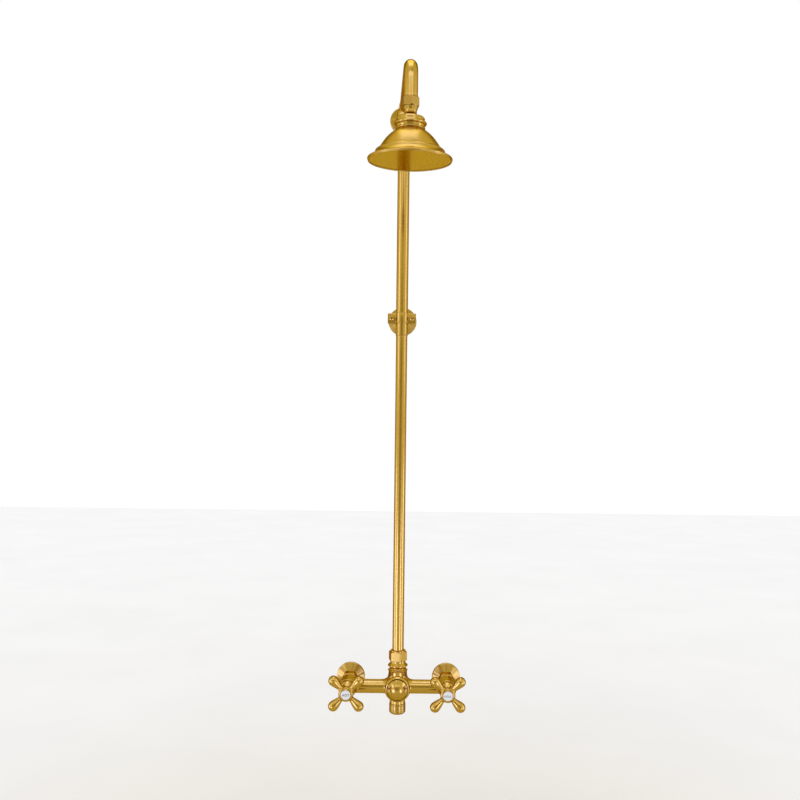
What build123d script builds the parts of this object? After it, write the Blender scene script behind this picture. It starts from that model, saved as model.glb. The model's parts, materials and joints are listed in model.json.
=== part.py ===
from build123d import *
from math import asin, degrees
import os

# Exposed wall-mounted two-handle shower column, all sizes in millimetres.
# Frame: x = 0 on the riser, y = 0 on the finished wall with the room at -Y,
# z = 0 on the line of the two inlets. "Depth" below means distance out from the wall.

# ---- driving dimensions ----
INLET_SPACING = 203.2
RISER_DEPTH = 70.0
FLANGE_R = 30.0
FLANGE_DEPTH = 16.0

PIPE_R = 10.65
THREAD_R = 9.95
THREAD_RELIEF_R = 9.4
CONNECTOR_BORE = 7.5
IN_WALL = 16.0
COLLAR_BACK = 22.1
COLLAR_FRONT = 26.0
SHANK_R = 13.0
SHANK_END = 28.0
UNION_AF = 32.0
UNION_BACK = 19.0
UNION_FRONT = 41.0

TUBE_R = 14.0
WATERWAY_R = 9.0
HOUSING_R = 18.5
HOUSING_BACK = 46.0
HOUSING_FRONT = 90.0
CAVITY_R = 12.6
SEAT_DEPTH = 64.0
DISC_DEPTH = 66.0
DISC_R = 8.9
DISC_THICK = 3.0
PORT_R = 2.4
PORT_CIRCLE_R = 5.0
BONNET_FRONT = 103.6

HUB_RING_R = 26.2
HUB_BACK = 46.0
HUB_FRONT = 95.5
CAP_DOME_R = 20.5
CAP_FRONT = 108.5

RISER_R = 11.6
UPPER_R = 12.2
RISER_SKIN = 1.2
COUPLING_BORE = 8.8
RISER_NUT_AF = 33.3
NUT_TURN = 46.8
RISER_NUT_FOOT = 53.5
RISER_NUT_HEAD = 75.0
TEE_NUT_FOOT = 1148.0
TEE_NUT_HEAD = 1167.0
TEE_FOOT = 1156.0
NUT_THREAD_R = 13.8
SEAM_HEIGHT = 721.0
SUPPORT_HEIGHT = 760.0
TEE_HEIGHT = 1188.0

SPOUT_R = 14.5
SPOUT_END = -45.0
PLUG_R = 16.7
PLUG_BOTTOM = -54.5

HANDLE_DEPTH = 121.0
SPOKE_TIP = 46.0
LOBE_R = 10.2
SPOKE_COUNT = 4
HUB_R = 15.0
BUTTON_R = 9.9
BUTTON_FACE = 133.0

ARM_R = 12.7
ARM_BORE = 11.0
ARM_REACH = 231.0
ARM_BEND = 32.0
ARM_YAW = 3.4
ARM_DROOP = 2.0
ARM_OFFSET = 2.6
HEX_TOP = -63.0
PIVOT_DROP = -110.0

HEAD_TILT = 5.0
BALL_R = 14.0
SEAT_IN = 14.05
SEAT_OUT = 15.6
SOCKET_R = 15.65
HEX_AF = 28.2
HEX_TURN = 37.4
HEX_LOW = 28.5
HEX_HIGH = 44.5
RIM_R = 76.2
RIM_DROP = -66.0
PLATE_R = 72.6
SPRAY_RINGS = 6
SPRAY_HOLE_R = 0.8
PLATE_BOTTOM = -64.6
PLATE_TOP = -62.6
STRAINER_R = 7.9
STRAINER_BOTTOM = -20.0
STRAINER_THICK = 1.4

RUN = 0.05

UP = (0, 0, 1)
OUT = (0, -1, 0)
EAST = (1, 0, 0)
FULL_TURN = 360

os.makedirs("parts", exist_ok=True)


# ---- shared helpers ----
def section(origin, axis, side):
    """Plane of a turned outline: local X is the radius and local Y runs along the axis."""
    return Plane(origin=origin, x_dir=side, z_dir=Vector(side).cross(Vector(axis)))


def outline(plane, *points):
    """Closed face through straight-sided (radius, distance) points."""
    with BuildSketch(plane) as face:
        with BuildLine():
            Polyline(*points, close=True)
        make_face()
    return face.sketch


def ring(plane, inner, outer, start, end):
    """Rectangular section of a plain ring or tube."""
    return outline(plane, (inner, start), (outer, start), (outer, end), (inner, end))


def hexagon(plane, across_flats, start, end, turn):
    """Hexagonal bar between two distances along the plane's normal."""
    with BuildSketch(plane.offset(start)) as face:
        RegularPolygon(across_flats / 2, 6, major_radius=False, rotation=turn)
    return extrude(face.sketch, amount=end - start, mode=Mode.PRIVATE)


def bevel(plane, radius, start, end, drop=1.6, cut=2.4):
    """Turned envelope that rounds off both ends of a hexagon."""
    inner = radius - cut
    corners = [(0, start), (inner, start), (radius, start + drop), (radius, end - drop)]
    return outline(plane, *corners, (inner, end), (0, end))


def dome_arc(rim_r, rim_at, top_at):
    """Dome arc from a point on the axis down to its rim, tangent across the axis."""
    rise = top_at - rim_at
    radius = (rim_r**2 + rise**2) / (2 * rise)
    sweep_angle = degrees(asin(rim_r / radius))
    CenterArc((0, top_at - radius), radius, 90, -sweep_angle)


def save(piece, name):
    """Label one finished piece and write it."""
    piece.part.label = name
    export_step(piece.part, f"parts/{name}.step")


# ---- frames of the turned groups ----
RISER_AXIS = Axis((0, -RISER_DEPTH, 0), UP)
RISER = section((0, -RISER_DEPTH, 0), UP, EAST)
RISER_TOP_VIEW = Plane(origin=(0, -RISER_DEPTH, 0), x_dir=EAST, z_dir=UP)
CENTRE_AXIS = Axis((0, 0, 0), OUT)
CENTRE = section((0, 0, 0), OUT, EAST)

forward = Vector(0, -1, 0).rotate(Axis.Z, ARM_YAW)
sideways = Vector(1, 0, 0).rotate(Axis.Z, ARM_YAW)
lateral_axis = Axis((0, 0, 0), sideways)
arm_dir = forward.rotate(lateral_axis, ARM_DROOP)
arm_up = Vector(0, 0, 1).rotate(lateral_axis, ARM_DROOP)
head_up = Vector(0, 0, 1).rotate(lateral_axis, HEAD_TILT)
tee_centre = Vector(ARM_OFFSET, -RISER_DEPTH, TEE_HEIGHT)
pivot = tee_centre + arm_dir * ARM_REACH + arm_up * PIVOT_DROP

ARM = Plane(origin=tee_centre, x_dir=arm_dir, z_dir=sideways * -1)
ARM_SECTION = section(tee_centre, arm_dir, sideways)
ARM_AXIS = Axis(tee_centre, arm_dir)
LEG_SECTION = section(pivot, arm_up, sideways)
LEG_AXIS = Axis(pivot, arm_up)
LEG_TOP_VIEW = Plane(origin=pivot, x_dir=sideways, z_dir=arm_up)
HEAD = section(pivot, head_up, sideways)
HEAD_AXIS = Axis(pivot, head_up)
HEAD_TOP_VIEW = Plane(origin=pivot, x_dir=sideways, z_dir=head_up)

half = INLET_SPACING / 2

# ---- faucet body: one hollow casting ----
with BuildPart() as faucet_body:
    with BuildSketch(Plane(origin=(-half, -RISER_DEPTH, 0), x_dir=OUT, z_dir=EAST)):
        Circle(TUBE_R)
    extrude(amount=INLET_SPACING)
    # neck that flares down into the tube, then two sharp ridges and the nut thread
    flare_steps = [(6.0, 31.0, 14.0), (16.0, 24.5, 16.5), (29.0, 19.0, 19.0)]
    for height, half_width, half_depth in flare_steps:
        with BuildSketch(Plane(origin=(0, -RISER_DEPTH, height), x_dir=EAST, z_dir=UP)):
            Ellipse(half_width, half_depth)
    loft()
    neck = [(0, 0), (14, 0), (18.8, 28.5), (19.0, 32.0), (20.4, 34.6), (15.9, 38.7), (20.4, 44.8)]
    shelf = [(17.0, 48.0), (15.35, 50.0), (15.35, 53.5), (NUT_THREAD_R, 53.5)]
    thread_end = [(NUT_THREAD_R, 62.0), (0, 62.0)]
    revolve(outline(RISER, *neck, *shelf, *thread_end), axis=RISER_AXIS)
    # round centre boss with its raised ring, facing the room
    with BuildSketch(CENTRE):
        with BuildLine():
            Line((0, HUB_BACK), (6, HUB_BACK))
            ThreePointArc((6, HUB_BACK), (18, 51.5), (24.5, 64))
            Line((24.5, 64), (24.5, 84))
            ThreePointArc((24.5, 84), (HUB_RING_R, 89), (22.5, HUB_FRONT))
            Polyline((22.5, HUB_FRONT), (0, HUB_FRONT), (0, HUB_BACK))
        make_face()
    revolve(axis=CENTRE_AXIS)
    revolve(ring(RISER, 0, SPOUT_R, SPOUT_END, 0), axis=RISER_AXIS)
    # valve housings with the inlet shanks behind them
    for x in (-half, half):
        housing = section((x, 0, 0), OUT, EAST)
        housing_axis = Axis((x, 0, 0), OUT)
        shank = [(0, SHANK_END), (SHANK_R, SHANK_END), (SHANK_R, HOUSING_BACK - 2)]
        barrel = [(HOUSING_R - 1.5, HOUSING_BACK + 2), (HOUSING_R, HOUSING_BACK + 5)]
        nose = [(HOUSING_R, HOUSING_FRONT - 1), (HOUSING_R - 1, HOUSING_FRONT), (0, HOUSING_FRONT)]
        revolve(outline(housing, *shank, *barrel, *nose), axis=housing_axis)
    # waterways
    with BuildSketch(Plane(origin=(-half, -RISER_DEPTH, 0), x_dir=OUT, z_dir=EAST)):
        Circle(WATERWAY_R)
    extrude(amount=INLET_SPACING, mode=Mode.SUBTRACT)
    bore = [(0, SPOUT_END), (WATERWAY_R, SPOUT_END), (WATERWAY_R, 47.0)]
    socket = [(RISER_R + RUN, 47.0), (RISER_R + RUN, 62.0), (0, 62.0)]
    revolve(outline(RISER, *bore, *socket), axis=RISER_AXIS, mode=Mode.SUBTRACT)
    chamber = [(0, 62), (11, 62), (11, 78), (16, 78), (16, HUB_FRONT), (0, HUB_FRONT)]
    revolve(outline(CENTRE, *chamber), axis=CENTRE_AXIS, mode=Mode.SUBTRACT)
    for x in (-half, half):
        housing = section((x, 0, 0), OUT, EAST)
        housing_axis = Axis((x, 0, 0), OUT)
        inlet = [(0, SHANK_END), (CONNECTOR_BORE, SHANK_END), (CONNECTOR_BORE, SEAT_DEPTH)]
        cavity = [(CAVITY_R, SEAT_DEPTH), (CAVITY_R, HOUSING_FRONT), (0, HOUSING_FRONT)]
        revolve(outline(housing, *inlet, *cavity), axis=housing_axis, mode=Mode.SUBTRACT)
save(faucet_body, "faucet_body")

with BuildPart() as front_cap:
    with BuildSketch(CENTRE):
        with BuildLine():
            Polyline((0, 98), (12, 98), (12, 80), (15.95, 80), (15.95, HUB_FRONT))
            Polyline((15.95, HUB_FRONT), (CAP_DOME_R, HUB_FRONT), (CAP_DOME_R, HUB_FRONT + 1.2))
            dome_arc(CAP_DOME_R, HUB_FRONT + 1.2, CAP_FRONT)
            Line((0, CAP_FRONT), (0, 98))
        make_face()
    revolve(axis=CENTRE_AXIS)
save(front_cap, "front_cap")

with BuildPart() as front_cap_washer:
    revolve(ring(CENTRE, 12.2, 15.9, 78, 80), axis=CENTRE_AXIS)
save(front_cap_washer, "front_cap_washer")

# ---- blanking cap under the body ----
with BuildPart() as bottom_plug:
    revolve(ring(RISER, 0, PLUG_R, PLUG_BOTTOM, -33), axis=RISER_AXIS)
    fillet(bottom_plug.edges().filter_by(GeomType.CIRCLE).sort_by(Axis.Z)[0], 3)
    fillet(bottom_plug.edges().filter_by(GeomType.CIRCLE).sort_by(Axis.Z)[-1], 0.8)
    revolve(ring(RISER, 0, SPOUT_R + RUN, -47, -33), axis=RISER_AXIS, mode=Mode.SUBTRACT)
save(bottom_plug, "bottom_plug")

with BuildPart() as plug_washer:
    revolve(ring(RISER, 5, SPOUT_R - 0.2, -47, SPOUT_END), axis=RISER_AXIS)
save(plug_washer, "plug_washer")


# ---- the hot and the cold side: inlet, valve and handle ----
def valve_side(name, x):
    """Every loose piece of one inlet and its valve; x is the inlet's place."""
    plane = section((x, 0, 0), OUT, EAST)
    axis = Axis((x, 0, 0), OUT)
    face_view = Plane(origin=(x, 0, 0), x_dir=EAST, z_dir=OUT)

    with BuildPart() as wall_flange:
        skin = [(FLANGE_R, 0), (FLANGE_R, 1.6), (14.6, FLANGE_DEPTH - 0.6), (13.6, FLANGE_DEPTH)]
        inside = [(11.3, FLANGE_DEPTH), (11.3, 14.6), (13.4, 14.6), (28.2, 1.2), (28.2, 0)]
        revolve(outline(plane, *skin, *inside), axis=axis)
    save(wall_flange, f"{name}_wall_flange")

    with BuildPart() as connector:
        start = [(CONNECTOR_BORE, -IN_WALL), (THREAD_R - 0.8, -IN_WALL), (THREAD_R, -IN_WALL + 1)]
        relief = [(THREAD_R, -1), (THREAD_RELIEF_R, -1), (THREAD_RELIEF_R, 0.5)]
        pipe = [(PIPE_R, 0.5), (PIPE_R, COLLAR_BACK), (SHANK_R - 0.2, COLLAR_BACK)]
        face = [(SHANK_R - 0.2, COLLAR_FRONT), (CONNECTOR_BORE, COLLAR_FRONT)]
        revolve(outline(plane, *start, *relief, *pipe, *face), axis=axis)
    save(connector, f"{name}_inlet_connector")

    with BuildPart() as inlet_washer:
        revolve(ring(plane, CONNECTOR_BORE, SHANK_R - 0.3, COLLAR_FRONT, SHANK_END), axis=axis)
    save(inlet_washer, f"{name}_inlet_washer")

    with BuildPart() as union_nut:
        add(hexagon(face_view, UNION_AF, UNION_BACK, UNION_FRONT, 0))
        envelope = bevel(plane, UNION_AF / 2 + 2.4, UNION_BACK, UNION_FRONT)
        revolve(envelope, axis=axis, mode=Mode.INTERSECT)
        lip = [(0, UNION_BACK), (PIPE_R + 0.2, UNION_BACK), (PIPE_R + 0.2, 22.0)]
        bore = [(SHANK_R + RUN, 22.0), (SHANK_R + RUN, UNION_FRONT), (0, UNION_FRONT)]
        revolve(outline(plane, *lip, *bore), axis=axis, mode=Mode.SUBTRACT)
    save(union_nut, f"{name}_union_nut")

    with BuildPart() as seat_seal:
        revolve(ring(plane, 7.6, 11.5, SEAT_DEPTH, DISC_DEPTH), axis=axis)
    save(seat_seal, f"{name}_seat_seal")

    with BuildPart() as cartridge:
        sleeve = [(9.0, DISC_DEPTH), (CAVITY_R - RUN, DISC_DEPTH), (CAVITY_R - RUN, 95.0), (7.4, 95.0)]
        gland = [(7.4, 101.0), (5.45, 101.0), (5.45, 76.5), (9.0, 76.5)]
        revolve(outline(plane, *sleeve, *gland), axis=axis)
    save(cartridge, f"{name}_cartridge")

    # two ceramic discs: turning the upper one uncovers the ports of the lower one
    moving_start = DISC_DEPTH + DISC_THICK + RUN
    for disc_name, start in (("fixed_disc", DISC_DEPTH), ("moving_disc", moving_start)):
        with BuildPart() as disc:
            revolve(ring(plane, 0, DISC_R, start, start + DISC_THICK), axis=axis)
            with BuildSketch(face_view.offset(start)):
                with PolarLocations(PORT_CIRCLE_R, 2, start_angle=90 if disc_name == "fixed_disc" else 0):
                    Circle(PORT_R)
            extrude(amount=DISC_THICK, mode=Mode.SUBTRACT)
        save(disc, f"{name}_{disc_name}")

    with BuildPart() as bonnet:
        foot = [(13.0, HOUSING_FRONT), (17.5, HOUSING_FRONT), (17.5, 93.0), (16.2, 97.0)]
        shoulder = [(13.2, 101.0), (9.8, BONNET_FRONT), (7.6, BONNET_FRONT)]
        revolve(outline(plane, *foot, *shoulder, (7.6, 95.4), (13.0, 95.4)), axis=axis)
    save(bonnet, f"{name}_bonnet")

    with BuildPart() as stem:
        drive = [(0, 72.1), (8.7, 72.1), (8.7, 76.0), (5.4, 76.0), (5.4, 104.0)]
        spline_end = [(4.2, 104.0), (4.2, 120.8), (2.05, 120.8), (2.05, 109.0), (0, 109.0)]
        revolve(outline(plane, *drive, *spline_end), axis=axis)
    save(stem, f"{name}_stem")

    with BuildPart() as cross_handle:
        skirt = [(0, 106.0), (10.0, 106.0), (10.6, 108.0), (9.6, 111.5), (13.0, 114.5)]
        rim = [(HUB_R, 118.0), (HUB_R, 125.5), (13.8, 128.0), (11.8, 129.0), (0, 129.0)]
        revolve(outline(plane, *skirt, *rim), axis=axis)
        lobe_at = SPOKE_TIP - LOBE_R
        for i in range(SPOKE_COUNT):
            spoke = Vector(1, 0, 0).rotate(Axis.Y, 45 + i * FULL_TURN / SPOKE_COUNT)
            root = (x, -HANDLE_DEPTH, 0)
            with BuildSketch(Plane(origin=root, x_dir=spoke, z_dir=OUT)):
                with BuildLine():
                    Line((6, 0), (6, 5.4))
                    Spline((6, 5.4), (16, 5.6), (25, 8.0), (lobe_at, LOBE_R), tangents=((1, 0), (1, 0)))
                    CenterArc((lobe_at, 0), LOBE_R, 0, 90)
                    Line((SPOKE_TIP, 0), (6, 0))
                make_face()
            revolve(axis=Axis(root, spoke))
        broach = [(0, 106.0), (4.25, 106.0), (4.25, 121.0), (5.6, 121.0), (5.6, 126.0)]
        recess = [(BUTTON_R + 0.1, 126.0), (BUTTON_R + 0.1, 129.0), (0, 129.0)]
        revolve(outline(plane, *broach, *recess), axis=axis, mode=Mode.SUBTRACT)
    save(cross_handle, f"{name}_handle")

    with BuildPart() as handle_screw:
        shank = [(0, 110.0), (2.0, 110.0), (2.0, 121.0), (5.0, 121.0), (5.0, 123.6), (0, 123.6)]
        revolve(outline(plane, *shank), axis=axis)
        with BuildSketch(face_view.offset(122.4)):
            Rectangle(12, 1.2)
        extrude(amount=2, mode=Mode.SUBTRACT)
    save(handle_screw, f"{name}_handle_screw")

    with BuildPart() as index_button:
        with BuildSketch(plane):
            with BuildLine():
                Polyline((0, BUTTON_FACE), (0, 126.0), (BUTTON_R, 126.0), (BUTTON_R, 131.4))
                dome_arc(BUTTON_R, 131.4, BUTTON_FACE)
            make_face()
        revolve(axis=axis)
    save(index_button, f"{name}_index_button")

    with BuildPart() as bezel:
        inner = BUTTON_R + 0.1
        lip = [(inner, 129.0), (12.2, 129.0), (12.2, 130.6), (11.2, 132.0), (inner, 132.0)]
        revolve(outline(plane, *lip), axis=axis)
    save(bezel, f"{name}_bezel")


valve_side("hot", -half)
valve_side("cold", half)

# ---- riser in two lengths ----
with BuildPart() as riser_nut:
    add(hexagon(RISER_TOP_VIEW, RISER_NUT_AF, RISER_NUT_FOOT, RISER_NUT_HEAD, NUT_TURN))
    envelope = bevel(RISER, 19.2, RISER_NUT_FOOT, RISER_NUT_HEAD)
    revolve(envelope, axis=RISER_AXIS, mode=Mode.INTERSECT)
    wide = [(0, RISER_NUT_FOOT), (NUT_THREAD_R + RUN, RISER_NUT_FOOT), (NUT_THREAD_R + RUN, 66.0)]
    narrow = [(RISER_R + 0.15, 66.0), (RISER_R + 0.15, RISER_NUT_HEAD), (0, RISER_NUT_HEAD)]
    revolve(outline(RISER, *wide, *narrow), axis=RISER_AXIS, mode=Mode.SUBTRACT)
save(riser_nut, "riser_nut")

with BuildPart() as riser_washer:
    revolve(ring(RISER, RISER_R + RUN, 13.7, 62.0, 66.0), axis=RISER_AXIS)
save(riser_washer, "riser_washer")

SEAM_CHAMFER = 0.5
RISER_FOOT = 48.0
RISER_HEAD = 1172.0
riser_lengths = (
    ("lower_riser", RISER_R, RISER_FOOT, SEAM_HEIGHT),
    ("upper_riser", UPPER_R, SEAM_HEIGHT, RISER_HEAD),
)
for length_name, radius, start, end in riser_lengths:
    with BuildPart() as riser_tube:
        revolve(ring(RISER, radius - RISER_SKIN, radius, start, end), axis=RISER_AXIS)
        outer_edges = riser_tube.edges().filter_by(GeomType.CIRCLE).sort_by(SortBy.RADIUS)[-2:]
        chamfer(outer_edges, SEAM_CHAMFER)
    save(riser_tube, length_name)

with BuildPart() as riser_coupling:
    for radius, start, end in ((RISER_R, -22, 0), (UPPER_R, 0, 22)):
        plug_r = radius - RISER_SKIN - RUN
        revolve(ring(RISER, COUPLING_BORE, plug_r, SEAM_HEIGHT + start, SEAM_HEIGHT + end), axis=RISER_AXIS)
save(riser_coupling, "riser_coupling")

# ---- wall support half way up ----
CLAMP_R = 13.6
CLAMP_HEIGHT = 756.5
CLAMP_TALL = 20.6
EAR_SPAN = 58.0
EAR_THICK = 6.0
SPLIT_GAP = 0.8
SCREW_X = 21.0
SCREW_HEAD_R = 5.2
POST_R = 7.0
POST_END = 57.5
STUD_R = 4.0
STUD_INNER_R = 3.8
STUD_IN_WALL = 40.0

clamp_foot = CLAMP_HEIGHT - CLAMP_TALL / 2
support_top = Plane(origin=(0, -RISER_DEPTH, clamp_foot), x_dir=EAST, z_dir=UP)
SUPPORT = section((0, 0, SUPPORT_HEIGHT), OUT, EAST)
SUPPORT_AXIS = Axis((0, 0, SUPPORT_HEIGHT), OUT)

with BuildPart() as support_flange:
    skin = [(FLANGE_R, 0), (FLANGE_R, 1.6), (10.6, FLANGE_DEPTH - 0.6), (9.6, FLANGE_DEPTH)]
    inside = [(POST_R + 0.4, FLANGE_DEPTH), (POST_R + 0.4, 14.6), (9.4, 14.6), (28.2, 1.2), (28.2, 0)]
    revolve(outline(SUPPORT, *skin, *inside), axis=SUPPORT_AXIS)
save(support_flange, "support_flange")


def clamp_half(toward_wall):
    """Half of the split ring with its two ears; the split lies across the riser's axis."""
    y_sign = 1 if toward_wall else -1
    half_gap = SPLIT_GAP / 2
    with BuildSketch(support_top) as shape:
        Circle(CLAMP_R)
        with Locations((0, y_sign * EAR_THICK / 2)):
            Rectangle(EAR_SPAN, EAR_THICK)
        Circle(UPPER_R + RUN, mode=Mode.SUBTRACT)
        with Locations((0, -y_sign * (CLAMP_R - half_gap))):
            Rectangle(EAR_SPAN + 2, 2 * CLAMP_R, mode=Mode.SUBTRACT)
    return shape.sketch


def screw_holes(radius, start, end):
    """Two clearance holes through the ears, at distances out from the wall."""
    with BuildSketch(Plane(origin=(0, -start, CLAMP_HEIGHT), x_dir=EAST, z_dir=OUT)) as holes:
        with Locations((-SCREW_X, 0), (SCREW_X, 0)):
            Circle(radius)
    return extrude(holes.sketch, amount=end - start, mode=Mode.PRIVATE)


with BuildPart() as support_post:
    extrude(clamp_half(True), amount=CLAMP_TALL)
    fillet(support_post.edges().filter_by(Axis.Y).group_by(Axis.X)[0], 2)
    fillet(support_post.edges().filter_by(Axis.Y).group_by(Axis.X)[-1], 2)
    post = [(0, 0.5), (POST_R, 0.5), (POST_R, 52.0), (10.5, POST_END), (0, POST_END)]
    revolve(outline(SUPPORT, *post), axis=SUPPORT_AXIS)
    revolve(ring(SUPPORT, 0, STUD_INNER_R + RUN, 0.5, 30.0), axis=SUPPORT_AXIS, mode=Mode.SUBTRACT)
    add(screw_holes(2.1, 60, 72), mode=Mode.SUBTRACT)
save(support_post, "support_post")

with BuildPart() as support_clamp:
    extrude(clamp_half(False), amount=CLAMP_TALL)
    fillet(support_clamp.edges().filter_by(Axis.Y).group_by(Axis.X)[0], 2)
    fillet(support_clamp.edges().filter_by(Axis.Y).group_by(Axis.X)[-1], 2)
    add(screw_holes(2.7, 68, 80), mode=Mode.SUBTRACT)
save(support_clamp, "support_clamp")

with BuildPart() as support_screws:
    for x in (-SCREW_X, SCREW_X):
        plane = section((x, 0, CLAMP_HEIGHT), OUT, EAST)
        axis = Axis((x, 0, CLAMP_HEIGHT), OUT)
        face = RISER_DEPTH + EAR_THICK
        shank = [(0, 63.5), (2.05, 63.5), (2.05, face), (SCREW_HEAD_R, face)]
        head = [(SCREW_HEAD_R, face + 1.6), (SCREW_HEAD_R - 1, face + 2.8), (0, face + 2.8)]
        revolve(outline(plane, *shank, *head), axis=axis)
        with BuildSketch(Plane(origin=(x, -face - 1.4, CLAMP_HEIGHT), x_dir=EAST, z_dir=OUT)):
            Rectangle(12, 1.4)
        extrude(amount=3, mode=Mode.SUBTRACT)
save(support_screws, "support_screws")

with BuildPart() as support_stud:
    revolve(ring(SUPPORT, 0, STUD_R, -STUD_IN_WALL, 0), axis=SUPPORT_AXIS)
    revolve(ring(SUPPORT, 0, STUD_INNER_R, 0, 30.0), axis=SUPPORT_AXIS)
save(support_stud, "support_stud")

# ---- top of the column: wall flange, post, tee and arm ----
wall_hit = tee_centre + arm_dir * (-RISER_DEPTH / abs(arm_dir.Y))
TOP = section((wall_hit.X, 0, wall_hit.Z), OUT, EAST)
TOP_AXIS = Axis((wall_hit.X, 0, wall_hit.Z), OUT)
TEE_BACK = -20.0
TEE_FRONT = 17.0
TEE_R = 14.2
SOCKET_STOP = 7.0
WALL_SIDE = -RISER_DEPTH + 1.5
POST_BORE_R = 6.0

with BuildPart() as top_flange:
    skin = [(FLANGE_R, 0), (FLANGE_R, 1.6), (16.4, FLANGE_DEPTH - 1.6), (15.4, FLANGE_DEPTH - 1)]
    inside = [(14.2, FLANGE_DEPTH - 1), (14.2, 13.2), (15.2, 13.2), (28.2, 1.2), (28.2, 0)]
    revolve(outline(TOP, *skin, *inside), axis=TOP_AXIS)
save(top_flange, "top_flange")

with BuildPart() as top_post:
    post = [(POST_BORE_R, WALL_SIDE), (ARM_R, WALL_SIDE), (ARM_R, -SOCKET_STOP), (0, -SOCKET_STOP)]
    revolve(outline(ARM_SECTION, *post, (0, -40), (POST_BORE_R, -40)), axis=ARM_AXIS)
save(top_post, "top_post")

with BuildPart() as top_stud:
    revolve(ring(TOP, 0, STUD_R, -STUD_IN_WALL, 0), axis=TOP_AXIS)
    revolve(ring(TOP, 0, STUD_INNER_R, 0, 22), axis=TOP_AXIS)
save(top_stud, "top_stud")

with BuildPart() as arm_tee:
    barrel = [(0, TEE_BACK), (TEE_R - 1, TEE_BACK), (TEE_R, TEE_BACK + 1), (TEE_R, TEE_FRONT - 1)]
    revolve(outline(ARM_SECTION, *barrel, (TEE_R - 1, TEE_FRONT), (0, TEE_FRONT)), axis=ARM_AXIS)
    drop = [(0, TEE_FOOT), (NUT_THREAD_R, TEE_FOOT), (NUT_THREAD_R, 1168), (15.35, 1168)]
    revolve(outline(RISER, *drop, (15.35, 1176), (13.0, 1186), (0, 1186)), axis=RISER_AXIS)
    rear = [(0, TEE_BACK), (ARM_R + RUN, TEE_BACK), (ARM_R + RUN, -SOCKET_STOP), (0, -SOCKET_STOP)]
    revolve(outline(ARM_SECTION, *rear), axis=ARM_AXIS, mode=Mode.SUBTRACT)
    front = [(0, -3), (WATERWAY_R, -3), (WATERWAY_R, SOCKET_STOP), (ARM_R + RUN, SOCKET_STOP)]
    mouth = [(ARM_R + RUN, TEE_FRONT), (0, TEE_FRONT)]
    revolve(outline(ARM_SECTION, *front, *mouth), axis=ARM_AXIS, mode=Mode.SUBTRACT)
    socket_top = RISER_HEAD + 0.1
    socket = [(0, TEE_FOOT), (UPPER_R + RUN, TEE_FOOT), (UPPER_R + RUN, socket_top), (5.5, socket_top)]
    revolve(outline(RISER, *socket, (5.5, 1188), (0, 1188)), axis=RISER_AXIS, mode=Mode.SUBTRACT)
save(arm_tee, "arm_tee")

with BuildPart() as tee_nut:
    add(hexagon(RISER_TOP_VIEW, RISER_NUT_AF, TEE_NUT_FOOT, TEE_NUT_HEAD, NUT_TURN))
    revolve(bevel(RISER, 19.2, TEE_NUT_FOOT, TEE_NUT_HEAD), axis=RISER_AXIS, mode=Mode.INTERSECT)
    narrow = [(0, TEE_NUT_FOOT), (UPPER_R + 0.15, TEE_NUT_FOOT), (UPPER_R + 0.15, 1152)]
    wide = [(NUT_THREAD_R + RUN, 1152), (NUT_THREAD_R + RUN, TEE_NUT_HEAD), (0, TEE_NUT_HEAD)]
    revolve(outline(RISER, *narrow, *wide), axis=RISER_AXIS, mode=Mode.SUBTRACT)
save(tee_nut, "tee_nut")

with BuildPart() as tee_washer:
    revolve(ring(RISER, UPPER_R + RUN, 13.7, 1152, TEE_FOOT), axis=RISER_AXIS)
save(tee_washer, "tee_washer")

bend_start = ARM_REACH - ARM_BEND
with BuildPart() as shower_arm:
    with BuildLine(ARM) as arm_path:
        Line((SOCKET_STOP, 0), (bend_start, 0))
        RadiusArc((bend_start, 0), (ARM_REACH, -ARM_BEND), ARM_BEND)
        Line((ARM_REACH, -ARM_BEND), (ARM_REACH, HEX_TOP))
    with BuildSketch(Plane(origin=arm_path.line @ 0, z_dir=arm_dir)):
        Circle(ARM_R)
        Circle(ARM_BORE, mode=Mode.SUBTRACT)
    sweep(path=arm_path.line)
    hex_top = HEX_TOP - PIVOT_DROP
    spigot = [(8.0, hex_top - 12), (10.4, hex_top - 12), (10.4, hex_top), (12.0, hex_top + 0.8)]
    revolve(outline(LEG_SECTION, *spigot, (12.0, hex_top + 3), (8.0, hex_top + 3)), axis=LEG_AXIS)
save(shower_arm, "shower_arm")

# ---- ball joint: hexagon that screws on the arm, neck and ball in one piece ----
with BuildPart() as ball_joint:
    add(hexagon(LEG_TOP_VIEW, HEX_AF, HEX_LOW, HEX_HIGH, HEX_TURN))
    envelope = bevel(LEG_SECTION, 16.3, HEX_LOW, HEX_HIGH, 1.5, 2.4)
    revolve(envelope, axis=LEG_AXIS, mode=Mode.INTERSECT)
    revolve(ring(LEG_SECTION, 0, 13.6, HEX_HIGH, 47.0), axis=LEG_AXIS)
    with BuildSketch(LEG_SECTION):
        with BuildLine():
            Polyline((0, -11), (8.66, -11))
            ThreePointArc((8.66, -11), (BALL_R, 0), (8.0, 11.49))
            Polyline((8.0, 11.49), (8.0, 14.0), (11.3, 18.0), (11.3, 23.0), (13.6, HEX_LOW))
            Polyline((13.6, HEX_LOW), (0, HEX_LOW), (0, -11))
        make_face()
    revolve(axis=LEG_AXIS)
    water = [(0, -11), (5, -11), (5, 33), (10.45, 35), (10.45, 47), (0, 47)]
    revolve(outline(LEG_SECTION, *water), axis=LEG_AXIS, mode=Mode.SUBTRACT)
save(ball_joint, "ball_joint")


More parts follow.
